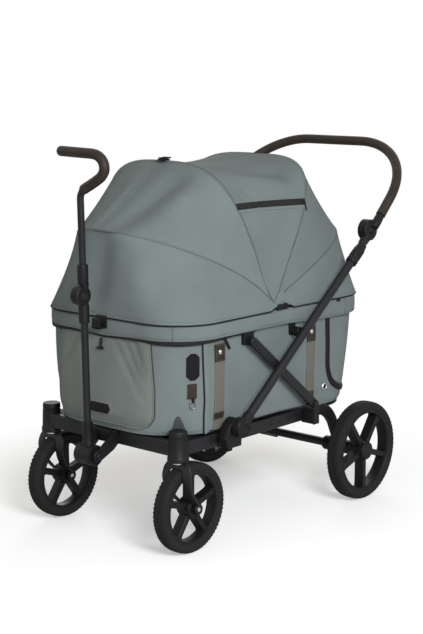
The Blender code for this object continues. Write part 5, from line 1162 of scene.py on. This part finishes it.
for body, label in zip(BOWS, ("rear", "rear_top", "main", "front")):
    sweep(f"seam_{label}", bow_line(body, PANEL_SHARES, 0.0001), round_section(0.0006, 8), SEAM, body)
    sweep(f"hood_{label}_bow", bow_line(body, PANEL_SHARES[3:-3], -0.0072), box_section(0.0085, 0.0042, 0.0012),
          PLASTIC, body, f"{label}_bow")
for name, panel, t in (("rear_low", "hood_rear_cloth", 0.025), ("rear_high", "hood_rear_cloth", 0.975),
                       ("top_rear", "hood_top_cloth", 0.020), ("top_main", "hood_top_cloth", 0.980),
                       ("front_main", "hood_front_cloth", 0.020), ("front_low", "hood_front_cloth", 0.980)):
    line, normal = panel_line(panel, t * (PANEL_ROWS - 1))
    on_panel(stitch_row(f"hood_stitch_{name}", line[6:-6], normal[6:-6], SEAM), panel)
for share, label, lift in ((-0.010, "seam", 0.0), (-0.018, "left", 0.0002), (-0.002, "right", 0.0002)):
    column = np.interp(share, PANEL_SHARES, np.arange(PANEL_COLS))
    line, normal = panel_line("hood_front_cloth", column, lift, True)
    if label == "seam":
        made = sweep("hood_centre_seam", line, round_section(0.0005, 8), CLOTH)
    else:
        made = stitch_row(f"hood_centre_stitch_{label}", line, normal, SEAM)
    on_panel(made, "hood_front_cloth")

# Hems: a black cord under the skirts, partly an edge piping and partly painted shade of the gap above the band
for label, row, t in (("rear", 0, 0.045), ("front", -1, 0.955)):
    panel = f"hood_{label}_skirt"
    hem = panels[panel][1][row, 10:-10] + (0.0, 0.0, -0.0006)
    line, normal = panel_line(panel, t * (PANEL_ROWS - 1))
    on_panel(sweep(f"hood_hem_{label}", hem, round_section(0.0019, 10), BLACK_TAPE_AND_SHADE), panel)
    on_panel(stitch_row(f"hood_hem_stitch_{label}", line[10:-10], normal[10:-10], SEAM), panel)

# Window zips on both sides of the top panel
WINDOW_Z, WINDOW_TILT = 0.8885, 0.0022
WINDOW_SECTION = ((-1.0, -0.3), (-1.0, 0.7), (-0.9, 1.0), (-0.45, 1.0), (-0.2, 1.3), (0.2, 1.3), (0.45, 1.0),
                  (0.9, 1.0), (1.0, 0.7), (1.0, -0.3))


def window_line(sign, lift, drop=0.0):
    """A nearly level line along one side of the top panel, with its outward directions."""
    grid = panels["hood_top_cloth"][1]
    normals = hood_normals(grid)
    cols = np.arange(PANEL_COLS)
    pick = cols[cols > PANEL_COLS / 2] if sign > 0 else cols[cols < PANEL_COLS / 2][::-1]
    spots, outs = [], []
    for i, row in enumerate(grid):
        order = pick[np.argsort(row[pick, 2])]
        tilt = WINDOW_TILT * (2.0 * i / (PANEL_ROWS - 1) - 1.0)
        place = np.interp(WINDOW_Z + tilt - drop, row[order, 2], order)
        low = int(min(place, PANEL_COLS - 2))
        share = place - low
        out = unit(normals[i, low])
        spots.append(row[low] * (1 - share) + row[low + 1] * share + out * lift)
        outs.append(out)
    return np.array(spots), np.array(outs)


for sign, label in SIDES:
    for name, half_wide, thick, material, lift, drop in (("zip", 0.0088, 0.0016, ZIP, 0.0004, 0.0),
                                                         ("flap", 0.0040, 0.0014, CLOTH, 0.0006, 0.0125)):
        section = [(a, thick * h) for a, h in WINDOW_SECTION]
        on_panel(strip(f"window_{name}_{label}", *window_line(sign, lift, drop), half_wide, section, material,
                       swap=True), "hood_top_cloth")
    spot, out = (table[1] for table in window_line(sign, 0.0004))
    pull = [spot + out * lift + (0.0, y, z) for lift, y, z in
            ((0.004, 0.0, 0.0), (0.006, 0.004, -0.008), (0.006, 0.008, -0.018), (0.005, 0.010, -0.027))]
    puller = sweep(f"window_puller_{label}", smooth_path(pull, 0.003), box_section(0.005, 0.0028, 0.001), PLASTIC)
    on_panel(puller, "hood_top_cloth")
    on_panel(solid_box(f"window_slider_{label}", spot - (0.004, 0.007, 0.005), spot + (0.004, 0.007, 0.005),
                       PLASTIC, None, 0.0018), "hood_top_cloth")

# Tab and buckle on the main bow's top
tab_spot = bow_line("hood_main", [0.0])[0] + (0.012, 0.0, 0.002)
solid_box("bow_tab", tab_spot + (-0.012, -0.020, -0.0015), tab_spot + (0.012, 0.004, 0.0025), BLACK_TAPE_AND_SHADE,
          "hood_main", 0.0008)
buckle = ((-0.013, -0.012, 0.0045), (-0.013, 0.004, 0.0055), (0.013, 0.004, 0.0055), (0.013, -0.012, 0.0045))
sweep("bow_buckle", tab_spot + buckle, box_section(0.005, 0.004, 0.0015), PLASTIC, "hood_main", looped=True)

# Pivots: cloth gusset, black plate and rivet
for sign, label in SIDES:
    gusset = mm((-32, -6), (-32, 12), (-18, 34), (-6, 40), (4, 34), (18, 16), (20, -6))
    plate(f"pivot_gusset_{label}", rounded(gusset, 0.004, looped=True), 1.0,
          (sign * (HOOD_X + 0.0016), HOOD.y, HOOD.z), 0.0024, CLOTH, "rim", 0.0006)
    plate(f"pivot_plate_{label}", round_rect(0.0, 0.0, 0.052, 0.0165, 0.004), sign,
          (sign * (HOOD_X + 0.0042), HOOD.y - 0.005, HOOD.z - 0.0060), 0.0040, PLASTIC, "rim")
    lathe(f"pivot_rivet_{label}", mm((0, 2.6), (2.8, 2.4), (4.2, 1), (4.5, -1), (0, -1)), sign,
          (sign * (HOOD_X + 0.0062), HOOD.y + 0.012, HOOD.z - 0.0075), PLASTIC, "rim", 24)


# Frame

LEG_X, LEG_OUT = 0.310, 0.0112
LEG_DIR = np.array((0.0, 0.7793, 0.6266))
LEG_UP = np.array((0.0, -0.6266, 0.7793))
LEG_FOOT_Y, BRACE_FOOT_Y, LINK_LENGTH, CROSS_ALONG = 0.165, 0.505, 0.3423, 0.2181
RAIL_X, RAIL_Z, HOLE_X, HOLE_Z = 0.2435, 0.286, 0.2551, 0.2842
KNUCKLE_ALONG, KNUCKLE_OFF = 0.738, 0.008


def capsule(second, radius, steps=12):
    """Outline round the origin and a second point of a plane."""
    turn = math.degrees(math.atan2(second[1], second[0]))
    return (arc_points(second, radius, turn - 90, turn + 90, steps)
            + arc_points((0.0, 0.0), radius, turn + 90, turn + 270, steps))


def bolt(name, centre, sign, radius, high, body, socket=False):
    """A low round bolt head, with or without a socket in its middle."""
    profile = [(0.0, high), (radius * 0.6, high * 0.94), (radius * 0.9, high * 0.6), (radius, 0.0), (0.0, -0.001)]
    if socket:
        profile = [(radius * 0.42, high), (radius * 0.80, high), (radius, high * 0.6), (radius, -0.001),
                   (0.0, -0.001), (0.0, high * 0.35), (radius * 0.38, high * 0.35)]
    lathe(name, profile, sign, centre, PAINT, body, 28)


def leg_point(along, x, off=0.0):
    spot = (0.0, LEG_FOOT_Y, PIVOT_Z) + LEG_DIR * along + LEG_UP * off
    return np.array((x, spot[1], spot[2]))


def on_leg(name, x, profile, material, body, sides, replaced=None):
    """A turned piece along a leg."""
    lathe(name, profile, LEG_DIR, leg_point(0.0, x), material, body, sides, replaced)


for sign, label in SIDES:
    # side rail with its holes
    rail_x = sign * RAIL_X
    sweep(f"rail_{label}", [(rail_x, y, RAIL_Z) for y in (0.008, 0.010, 0.300, 0.573, 0.575)],
          box_section(0.023, 0.036, 0.004), PAINT, "chassis", f"side_rail_{label}", scale=(0.96, 1, 1, 1, 0.96))
    for k, y in enumerate((0.359, 0.398, 0.438)):
        lathe(f"rail_hole_rim_{label}_{k}", mm((2.7, 0), (3.1, 0.7), (3.8, 0.5), (4, -0.4), (2.7, -0.4)), sign,
              (sign * HOLE_X, y, HOLE_Z), PAINT, "chassis", 24)
        # a black disc in each hole is painted shade for its dark inside
        lathe(f"rail_hole_{label}_{k}", mm((0, 0.2), (2.7, 0.2), (2.7, -0.3), (0, -0.3)), sign,
              (sign * HOLE_X, y, HOLE_Z), BLACK_TAPE_AND_SHADE, "chassis", 16)

    # rear arm with its boss
    arm = mm((575.3, 286), (604, 282), (630, 268), (652, 243), (667, 212), (683, 180), (706, 156))
    arm_line = smooth_path([(rail_x, y, z) for y, z in arm + [(REAR_AXLE.y, REAR_AXLE.z)]], 0.006)
    sweep(f"arm_{label}", arm_line, box_section(0.0225, 0.0355, 0.0075, 4), PLASTIC, "chassis",
          f"rear_arm_{label}", scale=np.linspace(1.0, 0.80, len(arm_line)))
    boss = mm((0, 51.5), (18.5, 51.5), (20.8, 49), (21, 12), (19.5, 9), (19, -6), (21, -10), (21, -48.5),
              (19, -51.5), (0, -51.5))
    lathe(f"arm_boss_{label}", boss, sign, (sign * 0.2165, REAR_AXLE.y, REAR_AXLE.z), PLASTIC, "chassis")

    # bracket on the rail that carries the brace
    cheek = (mm((13.5, -27), (11.5, 11.5)) + arc_points((0.0, 0.0285), 0.0105, 0, 180, 17)
             + mm((-11.5, 11.5), (-13.5, -27), (-11.5, -30), (11.5, -30)))
    plate(f"bracket_cheek_{label}", cheek, 1.0, (sign * 0.29895, BRACE_FOOT_Y, 0.295), 0.0037, PLASTIC, "chassis",
          0.0012, f"brace_bracket_{label}")
    lathe(f"bracket_boss_{label}", mm((0, 297.5), (9.5, 297.5), (9.5, 270.5), (0, 270.5)), sign,
          (0.0, BRACE_FOOT_Y, PIVOT_Z), PLASTIC, "chassis", 28)
    solid_box(f"bracket_foot_{label}", (sign * 0.2560, 0.4930, 0.2660), (sign * 0.2980, 0.5170, 0.3030), PLASTIC,
              "chassis", 0.002)
    bolt(f"bracket_bolt_{label}", (sign * 0.3007, BRACE_FOOT_Y, PIVOT_Z), sign, 0.0055, 0.0018, "chassis")
    bolt(f"bracket_rivet_{label}", (sign * 0.3007, BRACE_FOOT_Y, 0.2800), sign, 0.0042, 0.0015, "chassis")

    # brace
    brace_dir = LEG_DIR[1:] * (-1.0, 1.0)
    plate(f"brace_bar_{label}", capsule(brace_dir * LINK_LENGTH, 0.0128), 1.0,
          (sign * 0.2900, BRACE_FOOT_Y, PIVOT_Z), 0.0128, PAINT, "braces", 0.0034, f"brace_{label}")
    for k, along in enumerate((0.285, 0.302)):
        y, z = (BRACE_FOOT_Y, PIVOT_Z) + brace_dir * along
        bolt(f"brace_rivet_{label}_{k}", (sign * 0.2963, y, z), sign, 0.0030, 0.0010, "braces")

    # leg with its hub
    x = sign * LEG_X
    tube = mm((0, 6), (10.8, 6), (12, 8), (12, 665), (11.2, 666), (0, 666))
    on_leg(f"leg_tube_{label}", x, tube, PAINT, "legs", 40, f"leg_{label}")
    hub = mm((0, 12.2), (4.2, 12.2), (4.6, 11.4), (19.5, 11.4), (20, 10), (21.2, 10), (21.7, 12.2), (24.5, 12.2),
             (26.2, 10.4), (26.5, -9.8), (24.8, -11.8), (0, -11.8))
    lathe(f"leg_hub_{label}", hub, sign, leg_point(0.0, x), PLASTIC, "legs")
    on_leg(f"leg_socket_{label}", x, mm((0, 10), (15, 10), (15.2, 34), (14.2, 44), (0, 44)), PLASTIC, "legs", 40)
    bolt(f"leg_rivet_{label}", leg_point(0.062, sign * (LEG_X + 0.0114)), sign, 0.0030, 0.0012, "legs")
    bolt_x = sign * (LEG_X + LEG_OUT)
    bolt(f"cross_bolt_{label}", leg_point(CROSS_ALONG, bolt_x), sign, 0.0048, 0.0018, "legs")
    lathe(f"cross_washer_{label}", mm((0, 1), (10.5, 1), (10.8, -7), (0, -7)), sign,
          leg_point(CROSS_ALONG, sign * 0.3040), PLASTIC, "legs", 32)
    bolt(f"rim_bolt_{label}", leg_point(LINK_LENGTH, bolt_x), sign, 0.0048, 0.0018, "legs")

    # sleeve and inner tube
    sleeve = mm((12.6, 612), (15.5, 612), (16.3, 614), (16.5, 626), (15.8, 628), (15.8, 631), (16.5, 633),
                (16.4, 662), (14, 674), (13.2, 683), (10, 684), (9.6, 666.5), (12.6, 666.5))
    on_leg(f"sleeve_{label}", x, sleeve, PLASTIC, "legs", 48, f"leg_sleeve_{label}")
    on_leg(f"inner_{label}", x, mm((0, 452), (9.2, 452), (9.2, 722), (0, 722)), PAINT, "inner_tubes", 32,
           f"inner_tube_{label}")
    lathe(f"knuckle_inner_{label}", mm((0, 7), (29.2, 7), (30, 5.8), (30, -5), (28, -7), (0, -7)), sign,
          leg_point(KNUCKLE_ALONG, sign * 0.2927, KNUCKLE_OFF), PLASTIC, "inner_tubes")
    on_leg(f"knuckle_neck_{label}", sign * 0.3060, mm((0, 686), (11.2, 686), (12.5, 690), (14.2, 722), (0, 724)),
           PLASTIC, "inner_tubes", 36)

    # collar that slides on the rail
    solid_box(f"collar_block_{label}", (sign * 0.2292, 0.1355, 0.2650), (sign * 0.2580, 0.1945, 0.3070), PLASTIC,
              "collars", 0.004, f"collar_{label}")
    outline = (mm((20, -27), (22.5, 22.5)) + arc_points((0.0, PIVOT_Z - 0.295), 0.0225, 8, 120, 12)
               + mm((-30, 31.5), (-44, 1), (-36, -23.5), (-33, -27)))
    plate(f"collar_cheek_{label}", outline, 1.0, (sign * 0.2814, LEG_FOOT_Y, 0.295), 0.0300, PLASTIC, "collars",
          0.0030)
    bolt(f"collar_bolt_{label}", (sign * 0.2964, 0.132, 0.2890), sign, 0.0044, 0.0016, "collars", True)

# Push bar: a bent tube with its leather grip, turning on the two knuckles
BAR_TILT = math.radians(45)
BAR_ALONG = np.array((0.0, math.cos(BAR_TILT), math.sin(BAR_TILT)))
BAR_UP = np.array((0.0, -math.sin(BAR_TILT), math.cos(BAR_TILT)))
BAR_FOOT = leg_point(KNUCKLE_ALONG, 0.0, KNUCKLE_OFF) - BAR_UP * KNUCKLE_OFF
BAR_BEND, BAR_REACH = 0.212, 0.339


def bar_point(x, along, up=0.0):
    return BAR_FOOT + (x, 0.0, 0.0) + BAR_ALONG * along + BAR_UP * up


def bar_line(start, step=0.006):
    """The bar's middle line from one side round both bends to the other."""
    straight = BAR_REACH - BAR_BEND
    line = [bar_point(LEG_X, a) for a in np.arange(start, straight, step)]
    line += [bar_point(LEG_X - BAR_BEND * (1 - math.cos(a)), straight + BAR_BEND * math.sin(a))
             for a in np.linspace(0.0, math.pi / 2, 34)]
    line += [bar_point(x, BAR_REACH) for x in np.arange(LEG_X - BAR_BEND - step, 0.0, -step)]
    line = np.array(line)
    return np.concatenate([line, [bar_point(0.0, BAR_REACH)], (line * (-1.0, 1.0, 1.0))[::-1]])


sweep("bar_tube", bar_line(0.020), round_section(0.0100, 28), PAINT, "push_bar", "handle_bar")
grip_line = bar_line(0.062)
sweep("bar_grip", grip_line, round_section(0.0141, 36), LEATHER, "push_bar", "handle_grip")
_, _, rise = path_frames(grip_line)
stitch_row("bar_grip_stitch", grip_line - rise * 0.0141, -rise, BLACK_TAPE_AND_SHADE, "push_bar", 0.0034, 0.0055, 0.0008)
for sign, label in SIDES:
    outer_disc = mm((11.2, 7.1), (11.8, 6), (12.5, 7.1), (28.5, 7.1), (30, 5.5), (30, -6), (29.2, -7), (0, -7),
                    (0, -1.2), (11.2, -1.2))
    lathe(f"knuckle_outer_{label}", outer_disc, sign, bar_point(sign * 0.3072, 0.0, KNUCKLE_OFF), PLASTIC,
          "push_bar")
    lathe(f"bar_socket_{label}", mm((0, 16), (12, 16), (13.5, 22), (13.2, 52), (11.8, 57), (0, 57)), BAR_ALONG,
          bar_point(sign * LEG_X, 0.0), PLASTIC, "push_bar", 40)

# Pull handle
PULL_LEAN = math.radians(1.2)
PULL_UP = np.array((0.0, -math.sin(PULL_LEAN), math.cos(PULL_LEAN)))
PULL_OFF = np.array((0.0, math.cos(PULL_LEAN), math.sin(PULL_LEAN)))
PULL_FOOT = np.array((0.0, -0.090, 0.248))


def pull_point(up, off=0.0, x=0.0):
    return PULL_FOOT + PULL_UP * up + PULL_OFF * off + (x, 0.0, 0.0)


def on_pull(name, profile, material, body, sides, replaced=None, x=0.0):
    """A turned piece along the pull handle."""
    lathe(name, profile, PULL_UP, PULL_FOOT + (x, 0.0, 0.0), material, body, sides, replaced)


lathe("pull_hub", mm((0, 29), (4, 29), (4.5, 27.8), (24, 27.8), (27, 28.5), (28.3, 26.2), (28.5, 18), (27, 16),
                     (27, -16), (28.5, -18), (28.3, -26.2), (27, -28.5), (0, -29)), 1.0, PULL_FOOT, PLASTIC,
      "pull_foot", 64, "pull_lower")
on_pull("pull_collar", mm((0, 20), (16, 20), (16.2, 30), (14.3, 36), (14, 79), (14.6, 81), (14.6, 85), (12.8, 87),
                          (0, 87)), PLASTIC, "pull_foot", 40)
on_pull("pull_tube", mm((0, 80), (9.8, 80), (9.8, 382), (0, 382)), PAINT, "pull_foot", 36)
on_pull("pull_sleeve_low", mm((0, 352), (12.8, 352), (14.1, 354), (14.2, 396), (13, 402), (0, 402)), PLASTIC,
        "pull_foot", 40, "pull_joint_lower")
JOINT = pull_point(0.425, -0.010)
lathe("pull_disc_low", mm((0, 6.6), (22.8, 6.6), (25, 4.8), (25, -6.6), (0, -6.6)), -1.0,
      JOINT + (-0.0072, 0.0, 0.0), PLASTIC, "pull_foot")
lathe("pull_disc_high", mm((11.2, 6.6), (11.8, 5.6), (12.6, 6.6), (22.8, 6.6), (25, 4.8), (25, -6.6), (0, -6.6),
                           (0, 0.8), (11.2, 0.8)), 1.0, JOINT + (0.0072, 0.0, 0.0), PLASTIC, "pull_top", 64,
      "pull_joint_upper")
on_pull("pull_neck_low", mm((0, 394), (12, 394), (11.2, 414), (0, 416)), PLASTIC, "pull_foot", 32, x=-0.0040)
on_pull("pull_neck_high", mm((0, 436), (10.4, 436), (12.2, 458), (0, 460)), PLASTIC, "pull_top", 32, x=0.0040)
on_pull("pull_sleeve_high", mm((0, 452), (12.8, 453), (14.2, 457), (14.2, 500), (13.2, 505), (0, 506)), PLASTIC,
        "pull_top", 40)

# its bent upper tube and grip
HOOK = mm((500, 0), (560, 0), (620, 0), (650, 0), (676, 0), (688, 4), (698.5, 14), (711, 38), (724, 62),
          (734.5, 78), (749, 88.5), (765, 88.5), (778, 80), (786.5, 66), (790, 48), (790.8, 20), (791.6, -20),
          (792.5, -60), (792.5, -71))
hook_line = smooth_path([pull_point(up, 0.0, x) for up, x in HOOK], 0.004)
sweep("pull_upper", hook_line[:-4], round_section(0.0092, 28), PAINT, "pull_top", "pull_upper_tube")
lengths = np.concatenate([[0.0], np.cumsum(np.linalg.norm(np.diff(hook_line, axis=0), axis=1))])
grip_start = lengths[np.argmin(np.linalg.norm(hook_line - pull_point(0.6945, 0.0, 0.010), axis=1))]
on_grip = lengths >= grip_start
grip_line = hook_line[on_grip]
to_end = np.minimum(lengths[on_grip] - grip_start, lengths[-1] - lengths[on_grip])
taper = 0.84 + 0.16 * np.sqrt(np.clip(1.0 - (1.0 - np.clip(to_end / 0.006, 0, 1)) ** 2, 0, 1))
sweep("pull_grip_cover", grip_line, round_section(0.0134, 32), LEATHER, "pull_top", "pull_grip", scale=taper)
_, side, _ = path_frames(grip_line)
stitch_row("pull_grip_stitch", grip_line + side * 0.0134, side, BLACK_TAPE_AND_SHADE, "pull_top", 0.0034, 0.0055, 0.0008)

# Front rail with the hinge's cheeks
sweep("rail_front", [(x, -0.011, 0.288) for x in (-0.2262, -0.2200, 0.0, 0.2200, 0.2262)],
      box_section(0.0198, 0.0396, 0.004), PAINT, "chassis", "front_rail", scale=(0.97, 1, 1, 1, 0.97))
HINGE_CHEEK = (mm((44, 28), (26, 24)) + arc_points((-0.030, -0.027), 0.0160, 80, 280, 20)
               + mm((26, -19), (44, -5)))
for sign, label in SIDES:
    plate(f"hinge_cheek_{label}", HINGE_CHEEK, 1.0, (sign * 0.0353, -0.060, 0.275), 0.0118, PLASTIC, "chassis",
          0.0026)
    bolt(f"hinge_bolt_{label}", (sign * 0.0411, *PULL_FOOT[1:]), sign, 0.0075, 0.0030, "chassis", True)
solid_box("hinge_seat", (-0.0410, -0.0290, 0.2690), (0.0410, -0.0190, 0.3070), PLASTIC, "chassis", 0.003)

# Rear axle and rear bar
axle = mm((0, 307), (5.5, 307), (6, 306), (6, 168), (12.5, 168))
lathe("axle_tube", axle + mm((12.5, -168), (6, -168), (6, -306), (5.5, -307), (0, -307)), 1.0,
      (0.0, REAR_AXLE.y, REAR_AXLE.z), PAINT, "chassis", 40, "rear_axle")
solid_box("bar_rear", (-0.1500, 0.7275, 0.2850), (0.1500, 0.7480, 0.3078), PAINT, "chassis", 0.003, "rear_bar")

# Casters
HOUSING_Z, FORK_TOP, FORK_HALF, LUG_OUT, NUT_OUT = 0.2535, 0.2475, 0.0375, 0.0310, 0.0345
# one half of a fork: share of its half width, height and Y
FORK_SIDE = ((0.0, FORK_TOP - 0.0032, 0.0), (0.50, FORK_TOP - 0.0036, -0.001), (0.82, FORK_TOP - 0.0105, -0.003),
             (0.96, FORK_TOP - 0.024, -0.006), (0.985, FORK_TOP - 0.043, -0.008), (0.955, FORK_TOP - 0.073, 0.001),
             (0.86, FORK_TOP - 0.103, 0.024), (0.80, FRONT_AXLE.z + 0.010, 0.0385))
FORK_PATH = [(-a, z, y) for a, z, y in FORK_SIDE[:0:-1]] + list(FORK_SIDE)
UPRIGHT = (0.0, 0.0, 1.0)
for sign, label in SIDES:
    x = sign * FRONT_AXLE.x
    body = f"caster_{label}"
    housing = mm((0, 0), (27, 0), (28.5, 1.4), (28.5, 11), (27.2, 13.5), (26.3, 15), (25, 56), (24.8, 62.5),
                 (23.2, 64), (23.2, 65.8), (24.6, 67.2), (24.3, 77), (22.5, 80.6), (0, 80.9))
    lathe(f"housing_{label}", housing, UPRIGHT, (x, 0.0, HOUSING_Z), PLASTIC, "chassis", 64,
          f"caster_housing_{label}")
    bolt(f"housing_bolt_{label}", (x, 0.0, HOUSING_Z + 0.0400), sign, 0.0050, 0.0010, "chassis")
    fork_line = smooth_path([(x + a * FORK_HALF, y, z) for a, z, y in FORK_PATH], 0.004)
    width = 1.0 - 0.16 * np.abs(np.linspace(-1.0, 1.0, len(fork_line))) ** 3
    sweep(f"fork_{label}", fork_line, box_section(0.0255, 0.0062, 0.0029, 4), PAINT, body, f"caster_fork_{label}",
          scale=width)
    lathe(f"fork_washer_{label}", mm((0, 5.8), (12.8, 5.8), (14, 4.8), (14, 0), (0, 0)), UPRIGHT,
          (x, 0.0, FORK_TOP - 0.0002), METAL, body, 40)
    centre = np.array((x, FRONT_AXLE.y, FRONT_AXLE.z))
    lathe(f"fork_axle_{label}", mm((0, 34.5), (6, 34.5), (6, -34.5), (0, -34.5)), 1.0, centre, METAL, body, 28)
    for turn, side in ((1.0, "outer"), (-1.0, "inner")):
        lug = mm((7.2, 5.2), (7.8, 6), (12.5, 6), (14.5, 4), (14.5, -4.6), (12, -5.6), (0, -5.6), (0, 1.8),
                 (6.8, 1.8))
        name = f"fork_lug_{label}_{side}"
        lathe(name, lug, sign * turn, centre + (sign * turn * LUG_OUT, 0.0, 0.0), PLASTIC, body, 40)
        hexagon = arc_points((0.0, 0.0), 0.0058, 0, 300, 6)
        plate(name + "_nut", hexagon, 1.0, centre + (sign * turn * NUT_OUT, 0.0, 0.0), 0.0040, METAL, body,
              0.0006)

# Buttons
for sign, label in SIDES:
    button = mm((0, 3.8), (5.8, 3.8), (6.2, 3.2), (7.8, 3.2), (9.5, 2), (9.8, -1.6), (0, -1.6))
    lathe(f"button_{label}", button, sign, bar_point(sign * 0.3120, 0.0, KNUCKLE_OFF), RUBBER,
          f"button_{label}", 48, f"handle_button_{label}")
lathe("pull_button_cap", mm((0, 2.2), (7, 2.2), (7.4, 1.6), (9, 1.6), (10.5, 0.6), (10.8, -1.6), (0, -1.6)), 1.0,
      JOINT + (0.0136, 0.0, 0.0), RUBBER, "pull_lock", 48, "pull_button")


# Stage, light and camera

FLOOR_REACH = 14.0
CAMERA_PLACE, CAMERA_LENS = (2.664, -3.0744, 1.2706), 81.93
CAMERA_AZIMUTH, CAMERA_DROP = math.radians(41.17), math.radians(10.12)
LIGHT_TARGET = Vector((0.0, 0.0, 0.5))


def stage_material():
    """A pale floor that goes to the backdrop's white away from the object, for the camera's rays."""
    new = new_material("floor_white")
    shader = new.tree.nodes["Principled BSDF"]
    new.fill(shader, {"Base Color": (0.80, 0.80, 0.80, 1.0), "Roughness": 0.9, "Specular IOR Level": 0.0})
    length = new.add("VectorMath", {0: new.add("TexCoord")["Object"]}, operation="LENGTH")["Value"]
    far = new.add("MapRange", {"Value": length, "From Min": 0.45, "From Max": 1.15},
                  interpolation_type="SMOOTHSTEP")[0]
    seen = new.add("LightPath")["Is Camera Ray"]
    glow = new.add("Emission", {"Strength": new.calc("MULTIPLY", seen, 0.36)})[0]
    lit = new.add("AddShader", {0: shader.outputs[0], 1: glow})[0]
    share = new.calc("MULTIPLY", far, seen)
    mix = new.add("MixShader", {0: share, 1: lit, 2: new.add("Emission")[0]})[0]
    new.fill(new.tree.nodes["Material Output"], {"Surface": mix})
    return new.owner


def make_floor():
    mesh = bpy.data.meshes.new("floor")
    corners = [(x * FLOOR_REACH, y * FLOOR_REACH, 0.0) for x, y in ((-1, -1), (1, -1), (1, 1), (-1, 1))]
    mesh.from_pydata(corners, [], [(0, 1, 2, 3)])
    mesh.materials.append(stage_material())
    link(bpy.data.objects.new("floor", mesh))


def area_light(name, place, size, power, colour=(1.0, 1.0, 1.0)):
    data = bpy.data.lights.new(name, "AREA")
    data.shape = "DISK"
    data.size = size
    data.energy = power
    data.color = colour
    made = link(bpy.data.objects.new(name, data))
    made.location = place
    made.rotation_euler = (LIGHT_TARGET - Vector(place)).to_track_quat("-Z", "Y").to_euler()


def make_world():
    """Warm light, and plain white for what the camera sees and what gloss and clear things show."""
    new = Nodes(bpy.data.worlds.new("studio"))
    bpy.context.scene.world = new.owner
    base = new.tree.nodes["Background"]
    new.fill(base, {"Color": (1.0, 0.95, 0.85, 1.0), "Strength": 0.32})
    white = new.add("Background", {"Color": (1.0, 1.0, 1.0, 1.0)})[0]
    rays = new.add("LightPath")
    shown = new.calc("MAXIMUM", rays["Is Camera Ray"], rays["Is Glossy Ray"])
    shown = new.calc("MAXIMUM", shown, rays["Is Transmission Ray"])
    mix = new.add("MixShader", {0: shown, 1: base.outputs[0], 2: white})[0]
    new.fill(new.tree.nodes["World Output"], {"Surface": mix})


def make_camera():
    data = bpy.data.cameras.new("camera")
    data.lens = CAMERA_LENS
    data.sensor_width = 36.0
    data.sensor_fit = "AUTO"
    made = link(bpy.data.objects.new("camera", data))
    made.location = CAMERA_PLACE
    level = math.cos(CAMERA_DROP)
    look = Vector((-math.sin(CAMERA_AZIMUTH) * level, math.cos(CAMERA_AZIMUTH) * level, -math.sin(CAMERA_DROP)))
    made.rotation_euler = look.to_track_quat("-Z", "Y").to_euler()
    bpy.context.scene.camera = made


make_floor()
make_world()
area_light("key", (3.1, -1.95, 2.2), 1.6, 150.0, (0.97, 1.0, 1.05))
area_light("fill", (-1.6, -3.6, 2.2), 2.4, 5.0)
area_light("back", (-2.4, 3.0, 1.5), 2.4, 45.0)
make_camera()
bpy.context.scene.view_settings.view_transform = "Standard"

NODE_FINISH = {"frame_paint": PAINT, "black_plastic": PLASTIC, "tyre_rubber": RUBBER, "grip_leather": LEATHER,
               "shell_fabric": CLOTH, "pad_fabric": PAD}
for row in frame["record"]["subparts"]:
    node = frame["nodes"][row["node"]]
    for place in node.material_slots:
        place.material = NODE_FINISH[row["material_slot"]]
